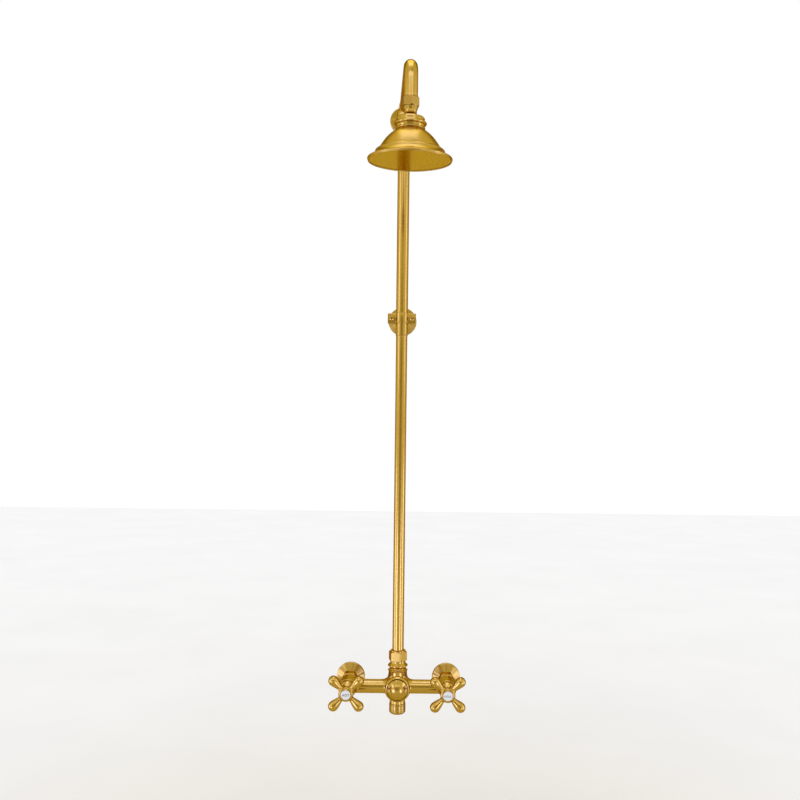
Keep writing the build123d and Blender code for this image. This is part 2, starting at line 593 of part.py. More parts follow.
def zone(low, high):
    """Section of a spherical shell around the ball between two latitudes in degrees."""
    def spot(radius, latitude):
        """Point of the shell at one latitude."""
        place = Vector(radius, 0).rotate(Axis.Z, latitude)
        return (place.X, place.Y)
    middle = (low + high) / 2
    with BuildSketch(HEAD) as face:
        with BuildLine():
            ThreePointArc(spot(SEAT_IN, low), spot(SEAT_IN, middle), spot(SEAT_IN, high))
            Line(spot(SEAT_IN, high), spot(SEAT_OUT, high))
            ThreePointArc(spot(SEAT_OUT, high), spot(SEAT_OUT, middle), spot(SEAT_OUT, low))
            Line(spot(SEAT_OUT, low), spot(SEAT_IN, low))
        make_face()
    return face.sketch


with BuildPart() as ball_liner:
    revolve(zone(24, 42), axis=HEAD_AXIS)
save(ball_liner, "ball_liner")

with BuildPart() as ball_seat:
    revolve(zone(-50, -8), axis=HEAD_AXIS)
save(ball_seat, "ball_seat")

with BuildPart() as socket_ball:
    Sphere(SOCKET_R)
socket_ball.part.location = Location(pivot)

# ---- shower head ----
with BuildPart() as swivel_cap:
    skirt = [(0, 2), (25.8, 2), (25.8, 7.2), (24.6, 8.0), (24.2, 9.4), (19.0, 10.6), (15.4, 13.1)]
    revolve(outline(HEAD, *skirt, (13.6, 13.6), (0, 13.6)), axis=HEAD_AXIS)
    add(socket_ball.part, mode=Mode.SUBTRACT)
    opening = [(0, 8), (11.0, 8), (11.0, 11.8), (13.2, 13.6), (0, 13.6)]
    revolve(outline(HEAD, *opening), axis=HEAD_AXIS, mode=Mode.SUBTRACT)
save(swivel_cap, "swivel_cap")

TAIL_R = 13.0
TAIL_DROP = -24.0
COLLAR_DROP = -11.6
with BuildPart() as head_collar:
    with BuildSketch(HEAD):
        with BuildLine():
            Polyline((0, 2), (27.0, 2), (27.0, 1.6))
            ThreePointArc((27.0, 1.6), (29.3, -0.8), (27.0, -3.2))
            Polyline((27.0, -3.2), (25.8, -5.4), (25.8, -7.6), (26.4, -9.0), (26.4, -10.4))
            Polyline((26.4, -10.4), (25.4, COLLAR_DROP), (TAIL_R, COLLAR_DROP), (TAIL_R, TAIL_DROP))
            Polyline((TAIL_R, TAIL_DROP), (0, TAIL_DROP), (0, 2))
        make_face()
    revolve(axis=HEAD_AXIS)
    add(socket_ball.part, mode=Mode.SUBTRACT)
    revolve(ring(HEAD, 0, 8.0, TAIL_DROP, -10), axis=HEAD_AXIS, mode=Mode.SUBTRACT)
save(head_collar, "head_collar")

INNER_DROP = COLLAR_DROP - 1.5
with BuildPart() as head_bell:
    with BuildSketch(HEAD):
        with BuildLine():
            Polyline((TAIL_R + RUN, COLLAR_DROP), (25.4, COLLAR_DROP))
            ThreePointArc((25.4, COLLAR_DROP), (44.6, -28.0), (55.6, -44.6))
            ThreePointArc((55.6, -44.6), (59.6, -46.4), (62.6, -49.4))
            ThreePointArc((62.6, -49.4), (67.4, -56.0), (75.0, -61.0))
            ThreePointArc((75.0, -61.0), (RIM_R, -63.4), (75.0, RIM_DROP))
            Polyline((75.0, RIM_DROP), (73.6, RIM_DROP), (PLATE_R + RUN, -64.9), (PLATE_R + RUN, -61.0))
            Polyline((PLATE_R + RUN, -61.0), (70.0, -59.6))
            ThreePointArc((70.0, -59.6), (65.6, -56.0), (61.2, -49.9))
            ThreePointArc((61.2, -49.9), (58.6, -47.6), (54.2, -45.4))
            ThreePointArc((54.2, -45.4), (43.4, -28.9), (25.0, INNER_DROP))
            Polyline((25.0, INNER_DROP), (TAIL_R + RUN, INNER_DROP), (TAIL_R + RUN, COLLAR_DROP))
        make_face()
    revolve(axis=HEAD_AXIS)
save(head_bell, "head_bell")

with BuildPart() as bell_nut:
    add(hexagon(HEAD_TOP_VIEW, 34, INNER_DROP - 5, INNER_DROP, 0))
    revolve(ring(HEAD, 0, TAIL_R + RUN, INNER_DROP - 5, INNER_DROP), axis=HEAD_AXIS, mode=Mode.SUBTRACT)
save(bell_nut, "bell_nut")

with BuildPart() as spray_plate:
    revolve(ring(HEAD, 0, PLATE_R, PLATE_BOTTOM, PLATE_TOP), axis=HEAD_AXIS)
    with BuildSketch(HEAD_TOP_VIEW.offset(PLATE_BOTTOM)):
        for i in range(1, SPRAY_RINGS + 1):
            with PolarLocations(i * 10.5, i * 6):
                Circle(SPRAY_HOLE_R)
    extrude(amount=PLATE_TOP - PLATE_BOTTOM, mode=Mode.SUBTRACT)
save(spray_plate, "spray_plate")

with BuildPart() as plate_gasket:
    revolve(ring(HEAD, PLATE_R - 3.6, PLATE_R, PLATE_TOP, PLATE_TOP + 1.6), axis=HEAD_AXIS)
save(plate_gasket, "plate_gasket")

with BuildPart() as strainer:
    strainer_top = STRAINER_BOTTOM + STRAINER_THICK
    revolve(ring(HEAD, 0, STRAINER_R, STRAINER_BOTTOM, strainer_top), axis=HEAD_AXIS)
    with BuildSketch(HEAD_TOP_VIEW.offset(STRAINER_BOTTOM)):
        for i in (1, 2):
            with PolarLocations(i * 2.8, i * 6):
                Circle(0.7)
    extrude(amount=STRAINER_THICK, mode=Mode.SUBTRACT)
save(strainer, "strainer")
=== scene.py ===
import json
import math

import bmesh
import bpy
import numpy as np
from mathutils import Matrix, Vector


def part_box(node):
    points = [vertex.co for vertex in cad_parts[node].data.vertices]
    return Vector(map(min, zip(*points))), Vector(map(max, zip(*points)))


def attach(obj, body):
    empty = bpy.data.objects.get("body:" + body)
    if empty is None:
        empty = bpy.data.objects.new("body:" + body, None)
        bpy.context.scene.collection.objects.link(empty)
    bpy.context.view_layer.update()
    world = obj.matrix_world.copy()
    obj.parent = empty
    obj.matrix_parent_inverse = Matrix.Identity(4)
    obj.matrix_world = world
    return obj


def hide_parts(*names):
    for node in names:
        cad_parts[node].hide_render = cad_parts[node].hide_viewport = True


# Polished-brass exposed shower column. Lengths in the outlines are millimetres from the
# wall or from an axis; MM turns them into the frame's metres.

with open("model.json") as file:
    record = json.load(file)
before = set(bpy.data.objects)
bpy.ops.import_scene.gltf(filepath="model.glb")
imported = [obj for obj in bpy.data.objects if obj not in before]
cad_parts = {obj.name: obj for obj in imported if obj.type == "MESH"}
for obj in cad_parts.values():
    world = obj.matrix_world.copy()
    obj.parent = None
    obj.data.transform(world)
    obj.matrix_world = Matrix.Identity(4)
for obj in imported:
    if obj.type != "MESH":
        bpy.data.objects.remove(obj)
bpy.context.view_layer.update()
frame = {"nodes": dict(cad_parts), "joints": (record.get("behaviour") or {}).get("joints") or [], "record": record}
MM = 0.001

# ---------------------------------------------------------------- places from the frame


def joint(name):
    """The frame's joint of that name."""
    return next(j for j in frame["joints"] if j["name"] == name)


def middle(node):
    """Centre of a CAD node's box."""
    low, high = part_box(node)
    return (low + high) / 2


def reach(node, axis):
    """Half the size of a CAD node along one axis, in millimetres."""
    low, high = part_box(node)
    return (high[axis] - low[axis]) / 2 / MM


UP = Vector((0, 0, 1))
OUT = Vector((0, -1, 0))
EAST = Vector((1, 0, 0))

PIVOT = Vector(joint("head_turn")["pos_m"])
ARM_UP = Vector(joint("head_turn")["axis"]).normalized()
HEAD_UP = Vector(joint("head_spin")["axis"]).normalized()
SIDE = Vector(joint("head_tilt")["axis"]).normalized()
SIDE_AXES = {"hot": Vector(joint("hot_handle_turn")["pos_m"]),
             "cold": Vector(joint("cold_handle_turn")["pos_m"])}
RISER_FOOT = Vector((middle("lower_riser").x, middle("lower_riser").y, 0))
RISER_R = reach("lower_riser", 0)
UPPER_R = reach("upper_riser", 0)
SUPPORT = Vector((0, 0, middle("support_flange").z))
CLAMP_AT = middle("support_clamp").z
TOP = Vector((middle("top_flange").x, 0, middle("top_flange").z))
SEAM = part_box("upper_riser")[0].z / MM
RISER_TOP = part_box("upper_riser")[1].z / MM
RISER_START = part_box("lower_riser")[0].z / MM
TEE_NUT_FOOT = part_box("tee_nut")[0].z / MM
TEE_NUT_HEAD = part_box("tee_nut")[1].z / MM
ARM_DIR = SIDE.cross(ARM_UP)
ARM_DIR = ARM_DIR if ARM_DIR.y < 0 else -ARM_DIR

ARM_R = 12.7
ARM_REACH = 231.0
ARM_BEND = 32.0
PIVOT_DROP = -110.0
TEE = PIVOT - ARM_DIR * (ARM_REACH * MM) - ARM_UP * (PIVOT_DROP * MM)


def basis(origin, axis, side=EAST):
    """Matrix whose Z is the axis and X the side, at an origin in metres."""
    z = Vector(axis).normalized()
    x = (Vector(side) - z * Vector(side).dot(z)).normalized()
    y = z.cross(x)
    place = Matrix((x, y, z)).transposed().to_4x4()
    place.translation = origin
    return place


# ---------------------------------------------------------------- materials


def shader(name, colour, roughness, metallic=0.0):
    """New node material with its Principled shader."""
    material = bpy.data.materials.new(name)
    material.use_nodes = True
    tree = material.node_tree
    principled = tree.nodes["Principled BSDF"]
    principled.inputs["Base Color"].default_value = (*colour, 1)
    principled.inputs["Roughness"].default_value = roughness
    principled.inputs["Metallic"].default_value = metallic
    return material, tree, principled


def add_noise(tree, scale, detail=4.0, stretch=(1, 1, 1)):
    """Noise texture on the object's own coordinates."""
    coords = tree.nodes.new("ShaderNodeTexCoord")
    mapping = tree.nodes.new("ShaderNodeMapping")
    mapping.inputs["Scale"].default_value = stretch
    noise = tree.nodes.new("ShaderNodeTexNoise")
    noise.inputs["Scale"].default_value = scale
    noise.inputs["Detail"].default_value = detail
    tree.links.new(coords.outputs["Object"], mapping.inputs["Vector"])
    tree.links.new(mapping.outputs["Vector"], noise.inputs["Vector"])
    return noise


def add_ramp(tree, source, stops):
    """Colour ramp from (position, colour) stops."""
    ramp = tree.nodes.new("ShaderNodeValToRGB")
    elements = ramp.color_ramp.elements
    while len(elements) < len(stops):
        elements.new(0.5)
    for element, (position, colour) in zip(elements, stops):
        element.position = position
        element.color = (*colour, 1)
    tree.links.new(source, ramp.inputs["Fac"])
    return ramp


def add_range(tree, source, low, high):
    """Map a 0 to 1 value onto another range."""
    node = tree.nodes.new("ShaderNodeMapRange")
    node.inputs["To Min"].default_value = low
    node.inputs["To Max"].default_value = high
    tree.links.new(source, node.inputs["Value"])
    return node


def add_bump(tree, principled, source, strength, distance):
    """Fine relief from a height value."""
    bump = tree.nodes.new("ShaderNodeBump")
    bump.inputs["Strength"].default_value = strength
    bump.inputs["Distance"].default_value = distance
    tree.links.new(source, bump.inputs["Height"])
    tree.links.new(bump.outputs["Normal"], principled.inputs["Normal"])


def polished_brass(name, body, hollow_shade, edge, rough, polish_scale, ripple):
    """Polished and lacquered brass: painted shade in the hollows, a paler colour on sharp convex edges, polish
    marks.
    """
    material, tree, principled = shader(name, body, rough, 1.0)
    # Pointiness ramp: painted shade darkens hollows and creases; sharp convex edges get a paler colour.
    geometry = tree.nodes.new("ShaderNodeNewGeometry")
    shade_and_edge_ramp = add_ramp(tree, geometry.outputs["Pointiness"],
                    [(0.40, hollow_shade), (0.485, body), (0.53, body), (0.60, edge)])
    cloud = add_noise(tree, 22, 3)
    tint = tree.nodes.new("ShaderNodeMix")
    tint.data_type = "RGBA"
    tint.blend_type = "MULTIPLY"
    tint.inputs["Factor"].default_value = 0.35
    shade = add_ramp(tree, cloud.outputs["Fac"], [(0.3, (0.86, 0.82, 0.74)), (0.7, (1, 1, 1))])
    tree.links.new(shade_and_edge_ramp.outputs["Color"], tint.inputs["A"])
    tree.links.new(shade.outputs["Color"], tint.inputs["B"])
    tree.links.new(tint.outputs["Result"], principled.inputs["Base Color"])
    marks = add_noise(tree, polish_scale, 6)
    spread = add_range(tree, marks.outputs["Fac"], rough * 0.85, rough * 1.15)
    tree.links.new(spread.outputs["Result"], principled.inputs["Roughness"])
    ripples = add_noise(tree, 45, 1)
    add_bump(tree, principled, ripples.outputs["Fac"], ripple, 0.0002)
    principled.inputs["Specular Tint"].default_value = (*EDGE_TINT, 1)
    principled.inputs["Coat Weight"].default_value = 0.06
    principled.inputs["Coat IOR"].default_value = 1.5
    principled.inputs["Coat Roughness"].default_value = 0.06
    return material


EDGE_TINT = (0.72, 0.55, 0.20)
BRASS_BODY = (0.51, 0.305, 0.038)
# Hollow colour: painted shade for creases, recesses and joins between parts.
BRASS_HOLLOW_SHADE = (0.26, 0.11, 0.008)
BRASS_EDGE = (0.62, 0.39, 0.06)
# Brass colours about a fifth darker than the body: painted shade for the wall flanges, outlet cap and arm hexagon.
SHADE_DARKENED_BODY = (0.40, 0.235, 0.027)
SHADE_DARKENED_EDGE = (0.52, 0.32, 0.05)

brass = polished_brass("polished_brass", BRASS_BODY, BRASS_HOLLOW_SHADE, BRASS_EDGE, 0.20, 900, 0.04)
tube_brass = polished_brass("drawn_tube_brass", BRASS_BODY, BRASS_HOLLOW_SHADE, BRASS_EDGE, 0.22, 700, 0.03)
cast_brass = polished_brass("cast_brass", BRASS_BODY, BRASS_HOLLOW_SHADE, BRASS_EDGE, 0.22, 420, 0.05)
# Darker copy of the polished brass: painted shade, not an older or different metal.
shade_darkened_brass = polished_brass("shade_darkened_brass", SHADE_DARKENED_BODY, BRASS_HOLLOW_SHADE, SHADE_DARKENED_EDGE, 0.24, 700, 0.04)
spun_brass = polished_brass("spun_brass", BRASS_BODY, BRASS_HOLLOW_SHADE, BRASS_EDGE, 0.32, 600, 0.03)


def machined_brass():
    """Bare turned brass of the hidden fittings and pipe threads."""
    material, tree, principled = shader("machined_brass", (0.50, 0.33, 0.11), 0.3, 1.0)
    rings = add_noise(tree, 60, 5, (1, 14, 14))
    colour = add_ramp(tree, rings.outputs["Fac"], [(0.3, (0.40, 0.25, 0.08)), (0.7, (0.60, 0.42, 0.16))])
    tree.links.new(colour.outputs["Color"], principled.inputs["Base Color"])
    rough = add_range(tree, rings.outputs["Fac"], 0.22, 0.42)
    tree.links.new(rough.outputs["Result"], principled.inputs["Roughness"])
    add_bump(tree, principled, rings.outputs["Fac"], 0.25, 0.0002)
    return material


def porcelain():
    """Glazed white porcelain: faint warm clouding under a hard clear glaze."""
    material, tree, principled = shader("porcelain", (0.86, 0.87, 0.89), 0.12)
    cloud = add_noise(tree, 160, 4)
    colour = add_ramp(tree, cloud.outputs["Fac"], [(0.3, (0.82, 0.83, 0.85)), (0.7, (0.90, 0.91, 0.93))])
    tree.links.new(colour.outputs["Color"], principled.inputs["Base Color"])
    rough = add_range(tree, cloud.outputs["Fac"], 0.08, 0.18)
    tree.links.new(rough.outputs["Result"], principled.inputs["Roughness"])
    add_bump(tree, principled, cloud.outputs["Fac"], 0.05, 0.0002)
    principled.inputs["Coat Weight"].default_value = 0.6
    principled.inputs["Coat Roughness"].default_value = 0.03
    return material


def fired_ink():
    """Grey-black ink fired into the glaze."""
    material, tree, principled = shader("fired_ink", (0.05, 0.045, 0.04), 0.3)
    speck = add_noise(tree, 1500, 2)
    colour = add_ramp(tree, speck.outputs["Fac"], [(0.3, (0.03, 0.03, 0.03)), (0.7, (0.10, 0.09, 0.08))])
    tree.links.new(colour.outputs["Color"], principled.inputs["Base Color"])
    return material


def speckled(name, dark, light, rough, scale, relief):
    """Moulded, pressed or sintered material with fine mottling."""
    material, tree, principled = shader(name, dark, rough)
    grain = add_noise(tree, scale, 5)
    colour = add_ramp(tree, grain.outputs["Fac"], [(0.3, dark), (0.7, light)])
    tree.links.new(colour.outputs["Color"], principled.inputs["Base Color"])
    spread = add_range(tree, grain.outputs["Fac"], rough * 0.8, min(rough * 1.2, 1.0))
    tree.links.new(spread.outputs["Result"], principled.inputs["Roughness"])
    add_bump(tree, principled, grain.outputs["Fac"], relief, 0.0002)
    return material


def zinc_steel():
    """Zinc-plated steel with a faint crystalline mottling."""
    material, tree, principled = shader("zinc_steel", (0.55, 0.55, 0.53), 0.35, 1.0)
    grain = add_noise(tree, 350, 5, (1, 1, 6))
    colour = add_ramp(tree, grain.outputs["Fac"], [(0.3, (0.44, 0.44, 0.42)), (0.7, (0.66, 0.66, 0.63))])
    tree.links.new(colour.outputs["Color"], principled.inputs["Base Color"])
    rough = add_range(tree, grain.outputs["Fac"], 0.25, 0.5)
    tree.links.new(rough.outputs["Result"], principled.inputs["Roughness"])
    add_bump(tree, principled, grain.outputs["Fac"], 0.2, 0.0002)
    return material


finishes = {
    "polished_brass": brass,
    "plain_brass": machined_brass(),
    "porcelain": porcelain(),
    "ceramic": speckled("ceramic", (0.74, 0.72, 0.67), (0.84, 0.83, 0.79), 0.25, 500, 0.03),
    "rubber": speckled("rubber", (0.016, 0.016, 0.017), (0.035, 0.035, 0.036), 0.75, 900, 0.25),
    "fibre": speckled("fibre", (0.20, 0.035, 0.02), (0.32, 0.07, 0.04), 0.8, 1200, 0.4),
    "nylon": speckled("nylon", (0.74, 0.72, 0.64), (0.82, 0.80, 0.73), 0.45, 400, 0.06),
    "steel": zinc_steel(),
}
ink = fired_ink()
node_slot = {row["node"]: row["material_slot"] for row in frame["record"]["subparts"]}

# ---------------------------------------------------------------- turned and swept meshes

SMOOTH_ANGLE = math.radians(32)


def new_piece(name, vertices, faces, material, body, nodes=()):
    """Mesh object that rides on a body and may stand for CAD nodes."""
    mesh = bpy.data.meshes.new(name)
    mesh.from_pydata([tuple(v) for v in vertices], [], faces)
    mesh.validate()
    mesh.update()
    mesh.shade_smooth()
    mesh.set_sharp_from_angle(angle=SMOOTH_ANGLE)
    mesh.materials.append(material)
    piece = bpy.data.objects.new(name, mesh)
    bpy.context.scene.collection.objects.link(piece)
    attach(piece, body)
    if nodes:
        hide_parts(*nodes)
    return piece


def softened(points, steps=5):
    """Outline whose corners with a third value are rounded to that radius."""
    result = []
    count = len(points)
    for i, point in enumerate(points):
        here = np.array(point[:2], float)
        radius = point[2] if len(point) > 2 else 0
        if radius == 0:
            result.append(here)
            continue
        before = np.array(points[i - 1][:2], float) - here
        after = np.array(points[(i + 1) % count][:2], float) - here
        back, ahead = np.linalg.norm(before), np.linalg.norm(after)
        before, after = before / back, after / ahead
        half = math.acos(np.clip(before @ after, -1, 1)) / 2
        cut = min(radius / math.tan(half), 0.48 * back, 0.48 * ahead)
        start, end = here + before * cut, here + after * cut
        for t in np.linspace(0, 1, steps + 1):
            result.append((1 - t) ** 2 * start + 2 * t * (1 - t) * here + t * t * end)
    return result


def arc(centre, radius, start, end, steps=12):
    """Outline points on an arc between two angles in degrees."""
    angles = np.radians(np.linspace(start, end, steps))
    return [(centre[0] + radius * math.cos(a), centre[1] + radius * math.sin(a)) for a in angles]


def spline(points, steps=8):
    """Smooth outline through points (centripetal-like Catmull-Rom)."""
    p = [np.array(q, float) for q in points]
    p = [2 * p[0] - p[1], *p, 2 * p[-1] - p[-2]]
    result = []
    for i in range(1, len(p) - 2):
        for t in np.linspace(0, 1, steps, endpoint=False):
            a = 2 * p[i]
            b = p[i + 1] - p[i - 1]
            c = 2 * p[i - 1] - 5 * p[i] + 4 * p[i + 1] - p[i + 2]
            d = 3 * p[i] - p[i - 1] - 3 * p[i + 1] + p[i + 2]
            result.append(tuple(0.5 * (a + b * t + c * t * t + d * t**3)))
    result.append(tuple(p[-2]))
    return result


def refined(points, step, closed):
    """Extra points so that no stretch of the outline is longer than a step."""
    result = []
    count = len(points) if closed else len(points) - 1
    for i in range(count):
        a, b = np.array(points[i][:2]), np.array(points[(i + 1) % len(points)][:2])
        parts = max(1, math.ceil(np.linalg.norm(b - a) / step))
        result += [a + (b - a) * k / parts for k in range(parts)]
    if not closed:
        result.append(np.array(points[-1][:2]))
    return result


def turned(name, points, place, material, body, nodes=(), facets=144, shape=None, step=None):
    """Lathe piece from (radius, height) points in mm: a ring if closed, or a solid if both ends
    are on the axis. shape changes the radius from the angle and the height."""
    outline = softened(points)
    solid = abs(outline[0][0]) < 1e-9 and abs(outline[-1][0]) < 1e-9
    if step:
        outline = refined(outline, step, not solid)
    outline = np.array(outline, float)
    angles = np.linspace(0, 2 * math.pi, facets, endpoint=False)
    radius = np.repeat(outline[:, 0][:, None], facets, 1)
    height = np.repeat(outline[:, 1][:, None], facets, 1)
    if shape:
        radius = shape(radius, angles[None, :], height)
    local = np.stack([radius * np.cos(angles), radius * np.sin(angles), height], -1) * MM
    turn = np.array(place.to_3x3())
    world = local.reshape(-1, 3) @ turn.T + np.array(place.translation)
    rows = len(outline)
    vertices = list(world)
    faces = []
    first, last = (1, rows - 2) if solid else (0, rows - 1)
    for i in range(first, last):
        for j in range(facets):
            k = (j + 1) % facets
            faces.append((i * facets + j, i * facets + k, (i + 1) * facets + k, (i + 1) * facets + j))
    if solid:
        for row, pole in ((first, 0), (last, rows - 1)):
            for j in range(facets):
                k = (j + 1) % facets
                ends = (row * facets + j, row * facets + k)
                faces.append((pole * facets, *(ends[::-1] if row == first else ends)))
    else:
        for j in range(facets):
            k = (j + 1) % facets
            row = (rows - 1) * facets
            faces.append((row + j, row + k, k, j))
    piece = new_piece(name, vertices, faces, material, body, nodes)
    clean(piece.data)
    return piece


def clean(mesh):
    """Merge doubled vertices, drop loose ones and face every side outwards."""
    work = bmesh.new()
    work.from_mesh(mesh)
    bmesh.ops.remove_doubles(work, verts=work.verts, dist=2e-6)
    loose = [v for v in work.verts if not v.link_faces]
    bmesh.ops.delete(work, geom=loose, context="VERTS")
    bmesh.ops.recalc_face_normals(work, faces=work.faces)
    work.to_mesh(mesh)
    work.free()
    mesh.shade_smooth()
    mesh.set_sharp_from_angle(angle=SMOOTH_ANGLE)


HEX_SHARPNESS = 5.0


def hexagonal(across_flats, turn=0.0, flats=6):
    """Radius limit of a hexagon, eased where it meets the turned envelope."""
    def shape(radius, angle, height):
        step = 2 * math.pi / flats
        local = (angle - math.radians(turn) + step / 2) % step - step / 2
        limit = across_flats / 2 / np.cos(local)
        gap = np.clip((limit - radius) * HEX_SHARPNESS, -60, 60)
        return radius - np.log1p(np.exp(-gap)) / HEX_SHARPNESS
    return shape


def threaded(root, pitch, depth, start, end):
    """Helical thread cut into everything near one radius between two heights."""
    def shape(radius, angle, height):
        phase = (height / pitch - angle / (2 * math.pi)) % 1
        tooth = np.abs(phase - 0.5) * 2
        fade = np.clip((height - start) / pitch, 0, 1) * np.clip((end - height) / pitch, 0, 1)
        near = np.abs(radius - root) < 0.05
        return radius - np.where(near, depth * tooth * fade, 0)
    return shape


def hex_nut(name, place, across_flats, start, end, bore, turn, body, nodes, collar=0.0):
    """Hexagon nut with both ends chamfered and a plain or stepped bore."""
    corner = across_flats / math.sqrt(3)
    rim = across_flats / 2 - 0.7
    drop = (corner - rim) * 0.55
    points = [
        (bore, start, 0.4), (rim, start, 0.3), (corner + 0.3, start + drop, 0.2),
        (corner + 0.3, end - drop, 0.2), (rim, end, 0.3)]
    if collar:
        points += [(rim - 0.3, end, 0.2), (rim - 0.3, end + collar, 0.5)]
    points.append((bore, end + collar, 0.4))
    return turned(name, points, place, brass, body, nodes, 288,
                  hexagonal(across_flats, turn), 0.5)


def swept(name, path, radius, bore, material, body, nodes, around=96):
    """Round tube along a path of points in metres that lies in one plane."""
    path = [Vector(p) for p in path]
    across = SIDE
    rings = []
    for i, point in enumerate(path):
        ahead = (path[min(i + 1, len(path) - 1)] - path[max(i - 1, 0)]).normalized()
        normal = across.cross(ahead).normalized()
        rings.append((point, normal))
    vertices, faces = [], []
    for wall in (radius, bore):
        for point, normal in rings:
            for j in range(around):
                a = 2 * math.pi * j / around
                vertices.append(point + (across * math.cos(a) + normal * math.sin(a)) * wall * MM)
    count = len(path) * around
    for i in range(len(path) - 1):
        for j in range(around):
            k = (j + 1) % around
            a, b, c, d = i * around + j, i * around + k, (i + 1) * around + k, (i + 1) * around + j
            faces.append((a, b, c, d))
            faces.append((count + d, count + c, count + b, count + a))
    for j in range(around):
        k = (j + 1) % around
        faces.append((k, j, count + j, count + k))
        end = (len(path) - 1) * around
        faces.append((end + j, end + k, count + end + k, count + end + j))
    piece = new_piece(name, vertices, faces, material, body, nodes)
    clean(piece.data)
    return piece


# ---------------------------------------------------------------- blended castings
# A casting is a distance field in millimetres. Its zero level is meshed with surface nets, and
# every vertex is then moved onto the field, so the blends are smooth enough to polish.


def smooth_union(a, b, blend):
    """Union of two fields with a rounded join."""
    h = np.maximum(blend - np.abs(a - b), 0) / blend
    return np.minimum(a, b) - h**3 * blend / 6


def lathe_field(points, origin, axis):
    """Distance to a solid turned about an axis, from (radius, height) points."""
    corners = np.array(softened(points, 4), float)
    origin, axis = np.array(origin, float), np.array(axis, float)
    axis = axis / np.linalg.norm(axis)

    def field(p):
        rel = p - origin
        h = rel @ axis
        r = np.sqrt(np.maximum((rel**2).sum(1) - h**2, 0))
        best = np.full(len(p), 1e9)
        inside = np.zeros(len(p), bool)
        for i in range(len(corners)):
            a, b = corners[i], corners[(i + 1) % len(corners)]
            edge = b - a
            length = edge @ edge
            if length < 1e-12:
                continue
            crosses = (a[1] > h) != (b[1] > h)
            if edge[1] != 0:
                at = a[0] + (h - a[1]) * edge[0] / edge[1]
                inside ^= crosses & (r < at)
            if a[0] < 1e-9 and b[0] < 1e-9:
                continue
            t = np.clip(((r - a[0]) * edge[0] + (h - a[1]) * edge[1]) / length, 0, 1)
            near = (r - a[0] - t * edge[0]) ** 2 + (h - a[1] - t * edge[1]) ** 2
            best = np.minimum(best, near)
        return np.where(inside, -1, 1) * np.sqrt(best)

    return field


def sampled(field, low, shape, cell):
    """Field on a grid: exact near the surface, and coarse elsewhere."""
    block = 4
    coarse_shape = [math.ceil(n / block) for n in shape]
    index = np.stack(np.meshgrid(*[np.arange(n) for n in coarse_shape], indexing="ij"), -1)
    centre = low + (index.reshape(-1, 3) * block + (block - 1) / 2) * cell
    rough = field(centre).reshape(coarse_shape)
    grid = np.kron(rough, np.ones((block, block, block)))[: shape[0], : shape[1], : shape[2]]
    close = np.argwhere(np.abs(grid) < block * cell * 1.2)
    values = grid.copy()
    for chunk in np.array_split(close, max(1, len(close) // 400000)):
        values[tuple(chunk.T)] = field(low + chunk * cell)
    return values


def surface_net(values, low, cell):
    """Quads and vertices of the zero level of a sampled field."""
    inside = values < 0
    n = np.array(values.shape) - 1
    corner = [(i, j, k) for i in (0, 1) for j in (0, 1) for k in (0, 1)]
    count = sum(inside[i : i + n[0], j : j + n[1], k : k + n[2]].astype(np.int8) for i, j, k in corner)
    active = (count > 0) & (count < 8)
    cells = np.argwhere(active)
    number = np.full(active.shape, -1, int)
    number[tuple(cells.T)] = np.arange(len(cells))
    total, hits = np.zeros((len(cells), 3)), np.zeros(len(cells))
    for a in corner:
        for axis in range(3):
            if a[axis]:
                continue
            b = list(a)
            b[axis] = 1
            va, vb = values[tuple((cells + a).T)], values[tuple((cells + b).T)]
            crossing = (va < 0) != (vb < 0)
            t = np.where(crossing, va / np.where(crossing, va - vb, 1), 0)
            point = np.array(a)[None, :] + 0.0 * total
            point[:, axis] += t
            total += point * crossing[:, None]
            hits += crossing
    vertices = low + (cells + total / hits[:, None]) * cell
    faces = []
    for axis in range(3):
        u, v = (axis + 1) % 3, (axis + 2) % 3
        ahead = np.zeros(3, int)
        ahead[axis] = 1
        size = np.array(values.shape) - ahead
        first = inside[: size[0], : size[1], : size[2]]
        second = inside[ahead[0] :, ahead[1] :, ahead[2] :]
        edges = np.argwhere(first != second)
        edges = edges[(edges[:, u] > 0) & (edges[:, v] > 0)]
        edges = edges[(edges[:, u] < n[u]) & (edges[:, v] < n[v])]
        du, dv = np.zeros(3, int), np.zeros(3, int)
        du[u], dv[v] = 1, 1
        quad = [number[tuple(e.T)] for e in (edges - du - dv, edges - dv, edges, edges - du)]
        quad = np.stack(quad, 1)
        flip = ~inside[tuple(edges.T)]
        quad[flip] = quad[flip][:, ::-1]
        faces.append(quad)
    return vertices, np.concatenate(faces)


def casting(name, field, low, high, cell, material, body, nodes):
    """Smooth mesh of a distance field inside a box, all in millimetres."""
    low, high = np.array(low, float), np.array(high, float)
    shape = np.ceil((high - low) / cell).astype(int) + 1
    vertices, faces = surface_net(sampled(field, low, shape, cell), low, cell)
    nudge = 0.02
    for _ in range(4):
        here = field(vertices)
        slope = np.stack([field(vertices + d) - field(vertices - d) for d in np.eye(3) * nudge], 1)
        slope /= 2 * nudge
        steep = np.maximum((slope**2).sum(1), 0.25)
        vertices -= np.clip(here / steep, -cell, cell)[:, None] * slope
    return new_piece(name, vertices * MM, [tuple(map(int, f)) for f in faces], material, body, nodes)


# ---------------------------------------------------------------- wall flanges

FLANGE_R = 30.0


